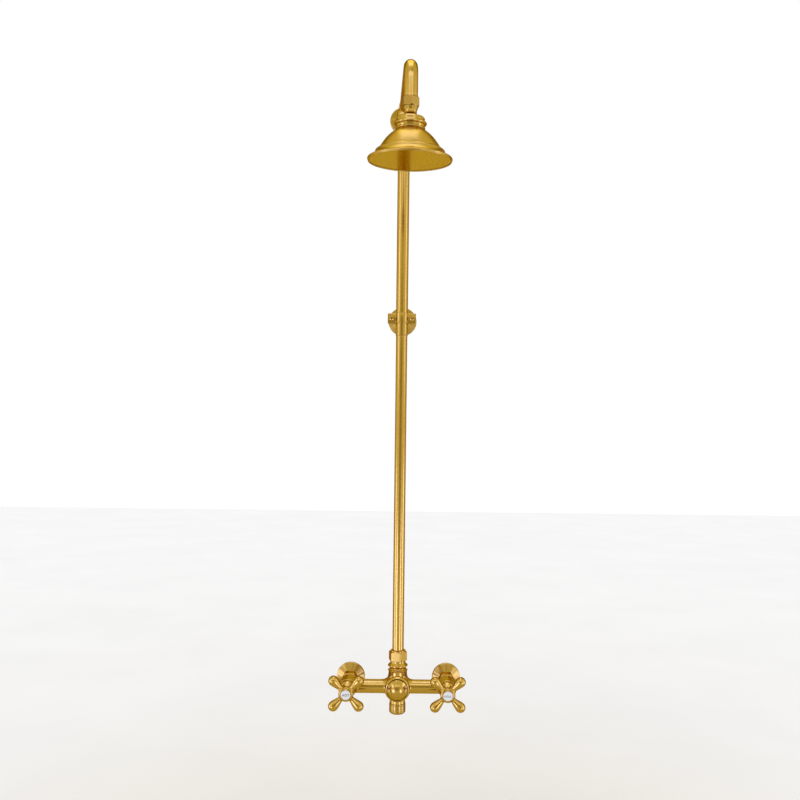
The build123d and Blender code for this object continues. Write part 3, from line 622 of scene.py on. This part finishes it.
def wall_flange(name, centre, mouth, depth):
    """Conical cover flange with a rolled rim and a raised lip round its mouth."""
    outside = [
        (28.6, 0.0, 0.2), (FLANGE_R, 0.0, 0.3), (FLANGE_R, 1.9, 0.9), (28.4, 2.9, 0.8),
        (mouth + 3.2, depth - 1.6, 0.8), (mouth + 2.4, depth - 0.2, 0.6), (mouth, depth, 0.4)]
    inside = [
        (mouth, depth - 1.3, 0.1), (mouth + 1.8, depth - 1.7, 0.3), (27.4, 1.6, 0.5)]
    place = basis(Vector((centre.x, 0, centre.z)), OUT)
    # The flanges take the darker brass copy: painted shade.
    turned(name, outside + inside, place, shade_darkened_brass, "column", [name], 180)


for side_name, at in SIDE_AXES.items():
    wall_flange(f"{side_name}_wall_flange", at, 11.3, 16.0)
wall_flange("support_flange", SUPPORT, 7.4, 16.0)
wall_flange("top_flange", TOP, 14.2, 15.0)

# ---------------------------------------------------------------- inlets and unions

THREAD_PITCH = 1.81
THREAD_CREST = 10.5
PIPE_R = 10.65
UNION_AF = 32.0
UNION_BACK = 19.0
UNION_FRONT = 41.0
SHANK_R = 13.0


def inlet(side_name, at):
    """Pipe connector and the union nut that draws it and its washer to the body."""
    place = basis(Vector((at.x, 0, at.z)), OUT)
    pipe = [
        (7.5, -16), (9.6, -16, 0.3), (THREAD_CREST, -15), (THREAD_CREST, -1), (9.4, -0.8, 0.2),
        (9.4, 0.5, 0.2), (PIPE_R, 0.6, 0.2), (PIPE_R, 22.1, 0.4), (12.7, 22.1, 0.3), (12.7, 26.0, 0.3),
        (7.5, 26.0)]
    turned(f"{side_name}_connector", pipe, place, finishes["plain_brass"], "column",
           [f"{side_name}_inlet_connector"], 144, threaded(THREAD_CREST, THREAD_PITCH, 1.1, -15, -1), 0.3)
    hex_nut(f"{side_name}_union", place, UNION_AF, UNION_BACK, UNION_FRONT, 10.85, 90, "column",
            [f"{side_name}_union_nut"])


for side_name, at in SIDE_AXES.items():
    inlet(side_name, at)

# ---------------------------------------------------------------- faucet body

TUBE_R = 14.0
HOUSING_R = 18.5
DEPTH = -RISER_FOOT.y / MM
HALF = SIDE_AXES["cold"].x / MM
CELL = 0.8


def tube_field(p):
    """Crossbar between the two valve housings."""
    across = np.sqrt((p[:, 1] + DEPTH) ** 2 + p[:, 2] ** 2) - TUBE_R
    return np.maximum(across, np.abs(p[:, 0]) - HALF)


def body_field():
    """Crossbar, centre boss, neck root and valve housings as one flowing casting."""
    boss = lathe_field(
        [(0, 46), (9, 46, 4), (19.5, 51, 8), (24.3, 63, 6), (24.6, 84.6, 0.8), (0, 84.6)],
        (0, 0, 0), OUT)
    root = lathe_field([(0, -6), (18.2, -6), (18.8, 22, 2), (18.9, 32.4, 0.6), (0, 32.4)],
                       (0, -DEPTH, 0), UP)
    outlet = lathe_field([(0, -34), (15.8, -34, 0.4), (15.8, -10, 1), (0, -10)], (0, -DEPTH, 0), UP)
    shells = []
    for x in (-HALF, HALF):
        shells.append(lathe_field(
            [(0, 44), (SHANK_R, 44), (SHANK_R + 0.6, 46.2, 0.4), (17.0, 48.5, 1.6), (HOUSING_R, 53, 3),
             (HOUSING_R, 87.4, 0.6), (17.4, 88.0, 0.3), (17.4, 89.0, 0.2), (HOUSING_R - 0.3, 89.2, 0.2),
             (HOUSING_R - 0.3, 90.0, 0.3), (0, 90.0)],
            (x, 0, 0), OUT))

    def field(p):
        whole = tube_field(p)
        whole = smooth_union(whole, root(p), 22.0)
        for shell in shells:
            whole = smooth_union(whole, shell(p), 7.0)
        whole = smooth_union(whole, boss(p), 5.0)
        return smooth_union(whole, outlet(p), 2.0)

    return field


BODY_NODES = ["faucet_body"]
casting("faucet_casting", body_field(), (-HALF - 20, -97, -36), (HALF + 20, -43, 34), CELL, cast_brass,
        "column", BODY_NODES)

RISER_PLACE = basis(RISER_FOOT, UP)
neck = [
    (RISER_R, 31.6), (18.9, 31.6), (19.2, 33.0, 0.3), (20.4, 34.6, 0.35), (17.2, 37.0, 0.8),
    (15.9, 38.7, 1.2), (17.2, 40.6, 0.8), (20.4, 43.6, 0.3), (20.3, 44.9, 0.3), (17.0, 48.4, 1.6),
    (15.35, 50.2, 1.0), (15.35, 53.4, 0.2), (13.8, 53.6), (13.8, 61.8, 0.4), (RISER_R, 62.0)]
turned("faucet_neck", neck, RISER_PLACE, brass, "column", BODY_NODES, 192)
for side_name, at in SIDE_AXES.items():
    shank = [(7.6, 28), (12.4, 28, 0.3), (SHANK_R, 28.8), (SHANK_R, 45.6), (7.6, 45.6)]
    turned(f"{side_name}_shank", shank, basis(Vector((at.x, 0, at.z)), OUT), brass, "column",
           BODY_NODES, 144, threaded(SHANK_R, THREAD_PITCH, 0.9, 28.4, 46), 0.3)

FRONT = basis(Vector((0, 0, 0)), OUT)
boss_ring = [
    (16.2, 84.4), (23.4, 84.4), (23.4, 85.8, 0.2), (25.0, 86.0, 0.3), (26.1, 87.2, 0.6), (26.3, 89.4, 1.0),
    (25.6, 92.2, 1.6), (23.6, 94.8, 1.2), (22.0, 95.5, 0.3), (21.5, 93.4, 0.3), (21.4, 91.4, 0.2),
    (16.2, 91.4)]
turned("boss_ring", boss_ring, FRONT, brass, "column", BODY_NODES, 192)
dome = arc((0, 84.79), 23.71, 58.5, 90, 20)
cap = [(0, 80), (15.9, 80, 0.3), (15.9, 92.0), (20.2, 92.0, 0.2), (20.5, 92.8, 0.2), (20.5, 96.6, 0.4),
       *dome[1:-1], (0, 108.5)]
turned("dome_cap", cap, FRONT, brass, "column", ["front_cap"], 180)

PLUG_R = 16.7
plug = [
    (0, -46.5), (14.6, -46.5), (14.6, -33.0, 0.3), (16.0, -33.0, 0.3), (PLUG_R, -33.8, 0.5),
    (PLUG_R, -36.4, 0.3), (16.3, -36.9, 0.3), (PLUG_R, -37.4, 0.3), (PLUG_R, -51.5, 2.6),
    (13.4, -54.5, 1.6), (0, -54.5)]
# The outlet cap takes the darker brass copy: painted shade.
turned("outlet_cap", plug, RISER_PLACE, shade_darkened_brass, "column", ["bottom_plug"], 180)

# ---------------------------------------------------------------- riser and its nuts

NUT_TURN = 46.8
RISER_NUT_AF = 33.3
RISER_SKIN = 1.2
hex_nut("riser_base_nut", RISER_PLACE, RISER_NUT_AF, 53.7, 73.2, RISER_R + 0.1, NUT_TURN + 30, "column",
        ["riser_nut"], collar=1.8)
hex_nut("riser_top_nut", RISER_PLACE, RISER_NUT_AF, TEE_NUT_FOOT, TEE_NUT_HEAD, UPPER_R + 0.1,
        NUT_TURN + 30, "column", ["tee_nut"])
for tube_name, radius, start, end in (("lower_riser", RISER_R, RISER_START, SEAM),
                                      ("upper_riser", UPPER_R, SEAM, RISER_TOP)):
    bore = radius - RISER_SKIN
    wall = [(bore, start), (radius, start, 0.5), (radius, end, 0.5), (bore, end)]
    turned(f"{tube_name}_tube", wall, RISER_PLACE, tube_brass, "column", [tube_name],
           144, None, 40)

# ---------------------------------------------------------------- wall support

CLAMP_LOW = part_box("support_clamp")[0].z / MM
CLAMP_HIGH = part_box("support_clamp")[1].z / MM
EAR_REACH = reach("support_clamp", 0)
EAR_THICK = 6.0
CLAMP_R = 13.6
SPLIT = 0.4
SCREW_X = 21.0
SCREW_R = 5.2


def clamp_outline(sign):
    """Plan of one clamp half: ear, ring and ear; sign is -1 towards the room."""
    ring_start = math.asin(EAR_THICK / CLAMP_R)
    outer = [(EAR_REACH, SPLIT), (EAR_REACH, EAR_THICK)]
    outer += [(CLAMP_R * math.cos(a), CLAMP_R * math.sin(a))
              for a in np.linspace(ring_start, math.pi - ring_start, 40)]
    outer += [(-EAR_REACH, EAR_THICK), (-EAR_REACH, SPLIT)]
    bore = UPPER_R + 0.05
    lip = math.asin(SPLIT / bore)
    inner = [(bore * math.cos(a), bore * math.sin(a)) for a in np.linspace(math.pi - lip, lip, 48)]
    return [(x, sign * y) for x, y in outer + inner]


def bevelled(piece, width, segments=3):
    """Round the sharp edges of a piece for good."""
    bevel = piece.modifiers.new("edges", "BEVEL")
    bevel.width = width * MM
    bevel.segments = segments
    bevel.limit_method = "ANGLE"
    bevel.angle_limit = math.radians(40)
    bevel.harden_normals = False
    apply_modifiers(piece)
    return piece


def apply_modifiers(piece):
    """Replace the mesh by what its modifiers give."""
    bpy.context.view_layer.update()
    graph = bpy.context.evaluated_depsgraph_get()
    mesh = bpy.data.meshes.new_from_object(piece.evaluated_get(graph))
    piece.modifiers.clear()
    piece.data = mesh
    mesh.shade_smooth()
    mesh.set_sharp_from_angle(angle=SMOOTH_ANGLE)


def extruded(name, plan, low, high, material, body, nodes):
    """Straight prism of a plan round the riser, between two heights."""
    count = len(plan)
    vertices = [RISER_FOOT + Vector((x * MM, y * MM, z * MM)) for z in (low, high) for x, y in plan]
    faces = [tuple(range(count)), tuple(range(2 * count - 1, count - 1, -1))]
    faces += [(i, (i + 1) % count, count + (i + 1) % count, count + i) for i in range(count)]
    piece = new_piece(name, vertices, faces, material, body, nodes)
    clean(piece.data)
    return piece


for clamp_name, sign, node in (("clamp_front", -1, "support_clamp"), ("clamp_back", 1, "support_post")):
    half_ring = extruded(clamp_name, clamp_outline(sign), CLAMP_LOW, CLAMP_HIGH, cast_brass, "column",
                         [node])
    bevelled(half_ring, 1.1, 4)

support_place = basis(SUPPORT, OUT)
post = [(0, 0.5), (6.6, 0.5, 0.2), (7.0, 1.0), (7.0, 50.0, 3), (8.4, 55.0, 3), (10.4, 57.4, 0.4), (0, 57.4)]
turned("support_post_rod", post, support_place, brass, "column", ["support_post"], 144)


def slotted_screw(name, x, z, angle):
    """Cheese-head screw on the front of the clamp with its slot at an angle."""
    face = DEPTH + EAR_THICK
    head = [(0, face - 4), (2.0, face - 4), (2.0, face + 0.02), (SCREW_R, face + 0.02, 0.1),
            (SCREW_R, face + 1.7, 0.7), (SCREW_R - 2, face + 2.7, 0.9), (0, face + 2.8)]
    place = basis(Vector((x * MM, 0, z)), OUT)
    screw = turned(name, head, place, brass, "column", ["support_screws"], 96)
    cutter_mesh = bpy.data.meshes.new("slot_cutter")
    work = bmesh.new()
    bmesh.ops.create_cube(work, size=1)
    work.to_mesh(cutter_mesh)
    work.free()
    cutter = bpy.data.objects.new("slot_cutter", cutter_mesh)
    bpy.context.scene.collection.objects.link(cutter)
    size = Matrix.Diagonal((14 * MM, 1.5 * MM, 4 * MM, 1))
    lift = Matrix.Translation((0, 0, (face + 3.2) * MM))
    cutter.matrix_world = place @ lift @ Matrix.Rotation(math.radians(angle), 4, "Z") @ size
    cut = screw.modifiers.new("slot", "BOOLEAN")
    cut.operation = "DIFFERENCE"
    cut.solver = "EXACT"
    cut.object = cutter
    apply_modifiers(screw)
    bpy.data.objects.remove(cutter)
    return screw


slotted_screw("clamp_screw_left", -SCREW_X, CLAMP_AT, 2)
slotted_screw("clamp_screw_right", SCREW_X, CLAMP_AT, 172)

# ---------------------------------------------------------------- wall studs

STUD_R = 4.0
STUD_TIP = -40


def stud(name, centre, node, inner_end):
    """Hanger stud: coarse wood thread in the wall, plain shank in the post."""
    place = basis(centre, OUT)
    body_line = [(0, STUD_TIP), (0.9, STUD_TIP, 0.2), (STUD_R, STUD_TIP + 6), (STUD_R, -0.2), (3.8, 0.2),
                 (3.8, inner_end, 0.4), (0, inner_end)]
    turned(name, body_line, place, finishes["steel"], "column", [node], 96,
           threaded(STUD_R, 3.0, 0.9, STUD_TIP + 6, -2), 0.35)


stud("support_hanger", SUPPORT, "support_stud", 30)
stud("top_hanger", TOP, "top_stud", 22)

# ---------------------------------------------------------------- top tee and arm

TEE_R = 14.2
TEE_MM = np.array(TEE) / MM
ARM_PLACE = basis(TEE, ARM_DIR, SIDE)


def tee_field():
    """Barrel along the arm and the riser's boss under it."""
    barrel = lathe_field(
        [(0, -20), (13.3, -20, 0.4), (TEE_R, -19.2, 0.5), (TEE_R, 16.2, 0.5), (13.3, 17, 0.4), (0, 17)],
        TEE_MM, np.array(ARM_DIR))
    boss = lathe_field(
        [(0, 1167.4), (15.3, 1167.4, 0.4), (15.35, 1176, 1), (14.5, 1184, 1), (0, 1184)],
        np.array(RISER_FOOT) / MM, UP)

    def field(p):
        return smooth_union(barrel(p), boss(p), 6.0)

    return field


casting("top_tee", tee_field(), TEE_MM + (-19, -23, -24), TEE_MM + (19, 26, 17), 0.6, cast_brass, "column",
        ["arm_tee"])
TEE_THREAD_R = 13.8
tee_thread = [(UPPER_R + 0.1, 1156.2), (13.4, 1156.2, 0.2), (TEE_THREAD_R, 1156.8), (TEE_THREAD_R, 1168),
              (UPPER_R + 0.1, 1168)]
turned("tee_thread", tee_thread, RISER_PLACE, brass, "column", ["arm_tee"], 144,
       threaded(TEE_THREAD_R, THREAD_PITCH, 0.7, 1156.5, 1170), 0.3)
rear_post = [(6.0, -68.4), (12.3, -68.4, 0.3), (ARM_R, -67.8), (ARM_R, -19), (6.0, -19)]
turned("rear_post", rear_post, ARM_PLACE, tube_brass, "column", ["top_post"], 144)

ARM_BORE = 11.0
HEX_TOP = -63.0
bend_start = ARM_REACH - ARM_BEND


def arm_point(ahead, height):
    """Point in the arm's own plane, in metres."""
    return TEE + ARM_DIR * (ahead * MM) + ARM_UP * (height * MM)


arm_path = [arm_point(s, 0) for s in np.linspace(16.5, bend_start, 12)]
arm_path += [arm_point(bend_start + ARM_BEND * math.sin(a), ARM_BEND * (math.cos(a) - 1))
             for a in np.radians(np.linspace(0, 90, 49)[1:])]
arm_path += [arm_point(ARM_REACH, h) for h in np.linspace(-ARM_BEND, HEX_TOP + 0.2, 8)[1:]]
swept("arm_tube", arm_path, ARM_R, ARM_BORE, tube_brass, "column", ["shower_arm"])

# ---------------------------------------------------------------- ball joint

LEG_PLACE = basis(PIVOT, ARM_UP, SIDE)
HEAD_PLACE = basis(PIVOT, HEAD_UP, SIDE)
HEX_AF = 28.2
HEX_TURN = 37.4
BALL_R = 14.0
SOCKET_R = 15.65

hex_part = [
    (10.5, 47.0, 0.2), (13.4, 47.0, 0.5), (13.6, 44.9, 0.2), (14.4, 44.4, 0.2), (16.5, 43.2, 0.2),
    (16.5, 30.2, 0.2), (14.0, 28.6, 0.3), (11.0, 28.4), (10.5, 30.0)]
# The arm hexagon takes the darker brass copy: painted shade.
turned("arm_hexagon", hex_part, LEG_PLACE, shade_darkened_brass, "column", ["ball_joint"], 288,
       hexagonal(HEX_AF, HEX_TURN + 30), 0.5)
ball_arc = arc((0, 0), BALL_R, -50, 55.2, 30)
neck_part = [
    (0, -10.5), (5, -10.7), *ball_arc, (8.0, 12.6, 0.4), (8.0, 14.2, 0.8), (11.3, 18.2, 0.6),
    (11.3, 22.6, 1.0), (13.7, 28.2, 0.3), (10.8, 29.0), (0, 29.0)]
turned("ball_and_neck", neck_part, LEG_PLACE, brass, "column", ["ball_joint"], 192)

# ---------------------------------------------------------------- shower head

cap_part = [
    *arc((0, 0), SOCKET_R, 8, 44, 12), (11.0, 11.7, 0.2), (12.6, 13.4, 0.4), (14.2, 13.3, 0.6),
    (16.2, 11.6, 0.8), (19.0, 10.6, 0.6), (23.6, 10.0, 0.8), (24.4, 8.9, 0.3), (24.5, 8.1, 0.2),
    (25.6, 7.6, 0.5), (25.8, 6.4, 0.6), (25.0, 4.4, 0.4), (25.2, 2.9, 0.3), (25.8, 2.05, 0.2)]
turned("swivel_cap_ring", cap_part, HEAD_PLACE, brass, "shower_head", ["swivel_cap"], 192)
collar_part = [
    *arc((0, 0), SOCKET_R, -46, 7, 16), (26.4, 2.0, 0.2), *arc((26.6, -0.8), 2.6, 80, -80, 12),
    (26.2, -4.0, 0.3), (25.8, -5.4, 0.5), (25.6, -7.8, 0.5), (26.5, -8.8, 0.5), (26.5, -10.2, 0.5),
    (25.4, -11.6, 0.2), (13.0, -11.6), (13.0, -24.0, 0.3), (8.0, -24.0), (8.0, -13.0)]
turned("head_collar_ring", collar_part, HEAD_PLACE, brass, "shower_head",
       ["head_collar"], 192)

bell_top = spline([(25.4, -11.6), (31.0, -15.6), (38.2, -21.6), (44.4, -28.2), (49.4, -34.8), (53.4, -41.0),
                   (55.8, -45.4)])
bell_step = [(57.0, -46.2, 0.8), (59.6, -46.6, 1.2), (62.2, -48.6, 1.2), (62.8, -50.6, 0.8)]
bell_flare = spline([(63.2, -51.6), (66.2, -55.6), (70.2, -58.8), (74.2, -60.9)])
bell_rim = [*arc((74.4, -62.5), 1.8, 80, -50, 12), (75.2, -65.9, 0.4), (73.8, -65.9, 0.3),
            (72.65, -64.7, 0.2), (72.65, -61.2, 0.2)]
inner_flare = [(70.0, -59.7), (66.0, -57.0), (62.2, -52.4), (61.2, -50.2)]
inner_dome = [(p[0] - 1.0, p[1] - 1.15) for p in bell_top[::-1]]
bell = [*bell_top, *bell_step, *bell_flare, *bell_rim, *inner_flare, *inner_dome, (13.05, -13.0),
        (13.05, -11.6)]
turned("bell_shell", bell, HEAD_PLACE, spun_brass, "shower_head", ["head_bell"], 256)

# ---------------------------------------------------------------- handles

HANDLE_DEPTH = 121.0
SPOKE_TIP = 46.0
LOBE_R = 10.2
HANDLE_CELL = 0.5
RECESS_R = 10.1
RECESS_FLOOR = 126.5
BUTTON_FACE = 133.0
CROWN_R = 31.43


def teardrop():
    """Half outline of one spoke: slim waist, then a round lobe."""
    centre = SPOKE_TIP - LOBE_R
    waist = spline([(4.9, 4.0), (5.3, 11.0), (5.6, 16.0), (7.0, 21.5), (9.0, 28.5),
                    (LOBE_R - 0.12, centre - 1.8)], 6)
    lobe = arc((0, centre), LOBE_R, 0, 90, 16)
    return [(0, 4.0), *waist, *lobe[:-1], (0, SPOKE_TIP)]


def handle_field(x):
    """Hub and four lobed spokes flowing into each other."""
    hub = lathe_field(
        [(0, 106.2), (9.8, 106.2, 0.4), (10.6, 107.4, 0.6), (10.4, 109.4, 0.8), (9.4, 111.6, 1.0),
         (11.4, 114.0, 1.4), (14.4, 116.6, 1.6), (15.0, 120, 2), (15.0, 125.6, 1.4), (13.9, 128.2, 1.0),
         (12.4, 129.0, 0.3), (RECESS_R, 129.0, 0.1), (RECESS_R, RECESS_FLOOR),
         (0, RECESS_FLOOR)],
        (x, 0, 0), OUT)
    spokes = []
    for i in range(4):
        angle = math.radians(45 + 90 * i)
        direction = (math.cos(angle), 0, math.sin(angle))
        spokes.append(lathe_field(teardrop(), (x, -HANDLE_DEPTH, 0), direction))

    def field(p):
        whole = hub(p)
        for spoke in spokes:
            whole = smooth_union(whole, spoke(p), 4.0)
        recess = np.sqrt((p[:, 0] - x) ** 2 + p[:, 2] ** 2) - RECESS_R
        return np.maximum(whole, -np.maximum(recess, RECESS_FLOOR + p[:, 1]))

    return field


def handle(side_name, at, word):
    """Cross handle with its bezel, porcelain button and word."""
    body = f"{side_name}_valve"
    x = at.x / MM
    span = SPOKE_TIP * 0.7071 + LOBE_R * 0.42
    casting(f"{side_name}_cross", handle_field(x), (x - span, -132.5, -span), (x + span, -105, span),
            HANDLE_CELL, brass, body, [f"{side_name}_handle"])
    place = basis(Vector((at.x, 0, at.z)), OUT)
    bezel = [(10.0, 128.6), (12.3, 128.6, 0.2), (12.3, 130.4, 0.5), (11.4, 131.9, 0.6), (10.4, 132.1, 0.4),
             (10.0, 131.4, 0.2)]
    turned(f"{side_name}_bezel_ring", bezel, place, brass, body,
           [f"{side_name}_bezel"], 144)
    crown = arc((0, BUTTON_FACE - CROWN_R), CROWN_R, 72.6, 90, 12)
    button = [(0, 126.6), (9.4, 126.6, 0.3), (9.9, 127.2), (9.9, 131.0, 0.5), *crown[1:-1],
              (0, BUTTON_FACE)]
    turned(f"{side_name}_porcelain", button, place, finishes["porcelain"], body,
           [f"{side_name}_index_button"], 144)
    lettering(f"{side_name}_word", word, at, body)


LETTER_SIZE = 6.6
LONG_WORD_SCALE = 0.82
LETTER_MIDDLE = BUTTON_FACE + 0.08
LETTER_HALF_DEPTH = 0.06


def lettering(name, word, at, body):
    """Small plain word laid on the button's crown."""
    curve = bpy.data.curves.new(name, "FONT")
    curve.body = word
    curve.size = LETTER_SIZE * MM * (1 if len(word) < 4 else LONG_WORD_SCALE)
    curve.space_character = 1.12
    curve.offset = 0.07 * MM
    curve.align_x = "CENTER"
    curve.align_y = "CENTER"
    curve.extrude = LETTER_HALF_DEPTH * MM
    curve.resolution_u = 6
    text = bpy.data.objects.new(name + "_curve", curve)
    bpy.context.scene.collection.objects.link(text)
    upright = Matrix.Rotation(math.pi / 2, 4, "X")
    text.matrix_world = Matrix.Translation((at.x, -LETTER_MIDDLE * MM, at.z)) @ upright
    bpy.context.view_layer.update()
    graph = bpy.context.evaluated_depsgraph_get()
    mesh = bpy.data.meshes.new_from_object(text.evaluated_get(graph))
    mesh.transform(text.matrix_world)
    bpy.data.objects.remove(text)
    for vertex in mesh.vertices:
        away = (vertex.co.x - at.x) ** 2 + (vertex.co.z - at.z) ** 2
        vertex.co.y += away / (2 * CROWN_R * MM)
    mesh.materials.clear()
    mesh.materials.append(ink)
    word_piece = bpy.data.objects.new(name, mesh)
    bpy.context.scene.collection.objects.link(word_piece)
    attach(word_piece, body)


def bonnet(side_name, at):
    """Domed bonnet between the valve housing and the handle."""
    place = basis(Vector((at.x, 0, at.z)), OUT)
    shell = [
        (13.0, 90.05), (17.2, 90.05, 0.3), (17.5, 91.0, 0.4), (17.5, 92.6, 0.6), (16.6, 96.2, 3),
        (13.4, 100.8, 3), (10.0, 102.6, 0.6), (9.8, 103.6, 0.3), (7.7, 103.6, 0.2),
        (7.7, 96.0), (13.0, 95.6)]
    turned(f"{side_name}_bonnet_dome", shell, place, brass, "column",
           [f"{side_name}_bonnet"], 180)


for side_name, at in SIDE_AXES.items():
    handle(side_name, at, {"hot": "HOT", "cold": "COLD"}[side_name])
    bonnet(side_name, at)

# ---------------------------------------------------------------- CAD pieces that stay

for node, piece in frame["nodes"].items():
    piece.data.materials.clear()
    piece.data.materials.append(finishes[node_slot[node]])

# ---------------------------------------------------------------- stage, light and camera

FLOOR_LEVEL = -0.95
FLOOR_HALF = 14.0


def pale_floor():
    """Plain pale floor a bath's height below the valve."""
    material, tree, principled = shader("pale_floor", (0.93, 0.93, 0.93), 0.7)
    cloud = add_noise(tree, 1.5, 3)
    colour = add_ramp(tree, cloud.outputs["Fac"], [(0.3, (0.92, 0.92, 0.92)), (0.7, (0.95, 0.95, 0.95))])
    tree.links.new(colour.outputs["Color"], principled.inputs["Base Color"])
    principled.inputs["Specular IOR Level"].default_value = 0
    mesh = bpy.data.meshes.new("floor")
    corners = [(x * FLOOR_HALF, y * FLOOR_HALF, FLOOR_LEVEL)
               for x, y in ((-1, -1), (1, -1), (1, 1), (-1, 1))]
    mesh.from_pydata(corners, [], [(0, 1, 2, 3)])
    mesh.materials.append(material)
    floor = bpy.data.objects.new("floor", mesh)
    bpy.context.scene.collection.objects.link(floor)


COOL = (0.82, 1.0, 4.2)


def soft_light(name, place, target, width, height, watts):
    """Rectangular soft box aimed at a point."""
    light = bpy.data.lights.new(name, "AREA")
    light.shape = "RECTANGLE"
    light.size = width
    light.size_y = height
    light.energy = watts
    light.color = COOL
    lamp = bpy.data.objects.new(name, light)
    bpy.context.scene.collection.objects.link(lamp)
    lamp.location = place
    lamp.rotation_euler = (Vector(target) - Vector(place)).to_track_quat("-Z", "Y").to_euler()
    lamp.visible_camera = False
    lamp.visible_diffuse = False
    return lamp


def card(name, place, target, width, height, shade):
    """Matt card for the polished metal to reflect; the camera doesn't see it."""
    material, tree, principled = shader(name, shade, 0.9)
    mesh = bpy.data.meshes.new(name)
    mesh.from_pydata([(-width / 2, -height / 2, 0), (width / 2, -height / 2, 0), (width / 2, height / 2, 0),
                      (-width / 2, height / 2, 0)], [], [(0, 1, 2, 3)])
    mesh.materials.append(material)
    board = bpy.data.objects.new(name, mesh)
    bpy.context.scene.collection.objects.link(board)
    board.location = place
    board.rotation_euler = (Vector(target) - Vector(place)).to_track_quat("Z", "Y").to_euler()
    board.visible_camera = False
    board.visible_shadow = False


pale_floor()

world = bpy.data.worlds.new("studio")
world.use_nodes = True
world.node_tree.nodes["Background"].inputs["Color"].default_value = (1, 1, 1, 1)
world.node_tree.nodes["Background"].inputs["Strength"].default_value = 1.0
bpy.context.scene.world = world

AMBER = (0.60, 0.43, 0.12)
UMBER = (0.22, 0.15, 0.045)
WHITE = (0.95, 0.95, 0.93)
GREY = (0.55, 0.55, 0.53)
BLACK = (0.02, 0.02, 0.02)
VALVE = (0, -0.08, 0.0)
MIDDLE = (0, -0.07, 0.55)
ARM = (0, -0.15, 1.1)
soft_light("left_low", (-1.30, -1.72, -0.38), VALVE, 0.66, 0.9, 6.4)
soft_light("right_low", (1.18, -1.80, -0.38), VALVE, 0.50, 0.9, 4.6)
soft_light("left_wall", (-1.5, -0.40, -0.1), VALVE, 0.45, 1.0, 3.6)
soft_light("right_wall", (1.5, -0.40, -0.1), VALVE, 0.45, 1.0, 3.6)
soft_light("left_high", (-1.8, -1.1, 1.25), ARM, 0.6, 1.0, 3.4)
soft_light("right_high", (2.0, -0.65, 1.25), ARM, 0.5, 1.0, 2.8)
soft_light("front_high", (0.0, -2.0, 2.25), ARM, 2.6, 0.9, 9.5)
soft_light("overhead", (-0.05, 0.0, 2.7), (-0.05, 0.0, 0), 1.1, 1.5, 9)
card("card_front", (0, -2.6, 0.6), MIDDLE, 2.2, 1.6, GREY)
BACK_CARDS = (("left", -0.78, 1.2, AMBER), ("middle", 0, 0.36, WHITE), ("right", 0.78, 1.2, AMBER))
for card_name, x, width, shade in BACK_CARDS:
    card(f"card_back_{card_name}", (x, 0.6, 0.5), (x, 0, 0.5), width, 2.6, shade)
card("card_back_top", (0, 0.6, 1.85), (0, 0, 1.85), 2.4, 1.1, UMBER)
card("card_boom", (0.25, -1.05, 2.0), (0.25, -1.05, 0), 0.16, 0.7, BLACK)

CAMERA_AT = Vector((0.036, -1.72, 0.5135))
CAMERA_ROLL = 0.68
CAMERA_LENS = 36.07
CAMERA_SHIFT = (-0.0225, 0.04625)

camera_data = bpy.data.cameras.new("camera")
camera_data.sensor_width = 36.0
camera_data.lens = CAMERA_LENS
camera_data.shift_x, camera_data.shift_y = CAMERA_SHIFT
camera_data.clip_start = 0.05
camera_data.clip_end = 60
camera = bpy.data.objects.new("camera", camera_data)
bpy.context.scene.collection.objects.link(camera)
camera.location = CAMERA_AT
camera.rotation_euler = (math.pi / 2, -math.radians(CAMERA_ROLL), 0)
bpy.context.scene.camera = camera
bpy.context.scene.view_settings.view_transform = "Standard"
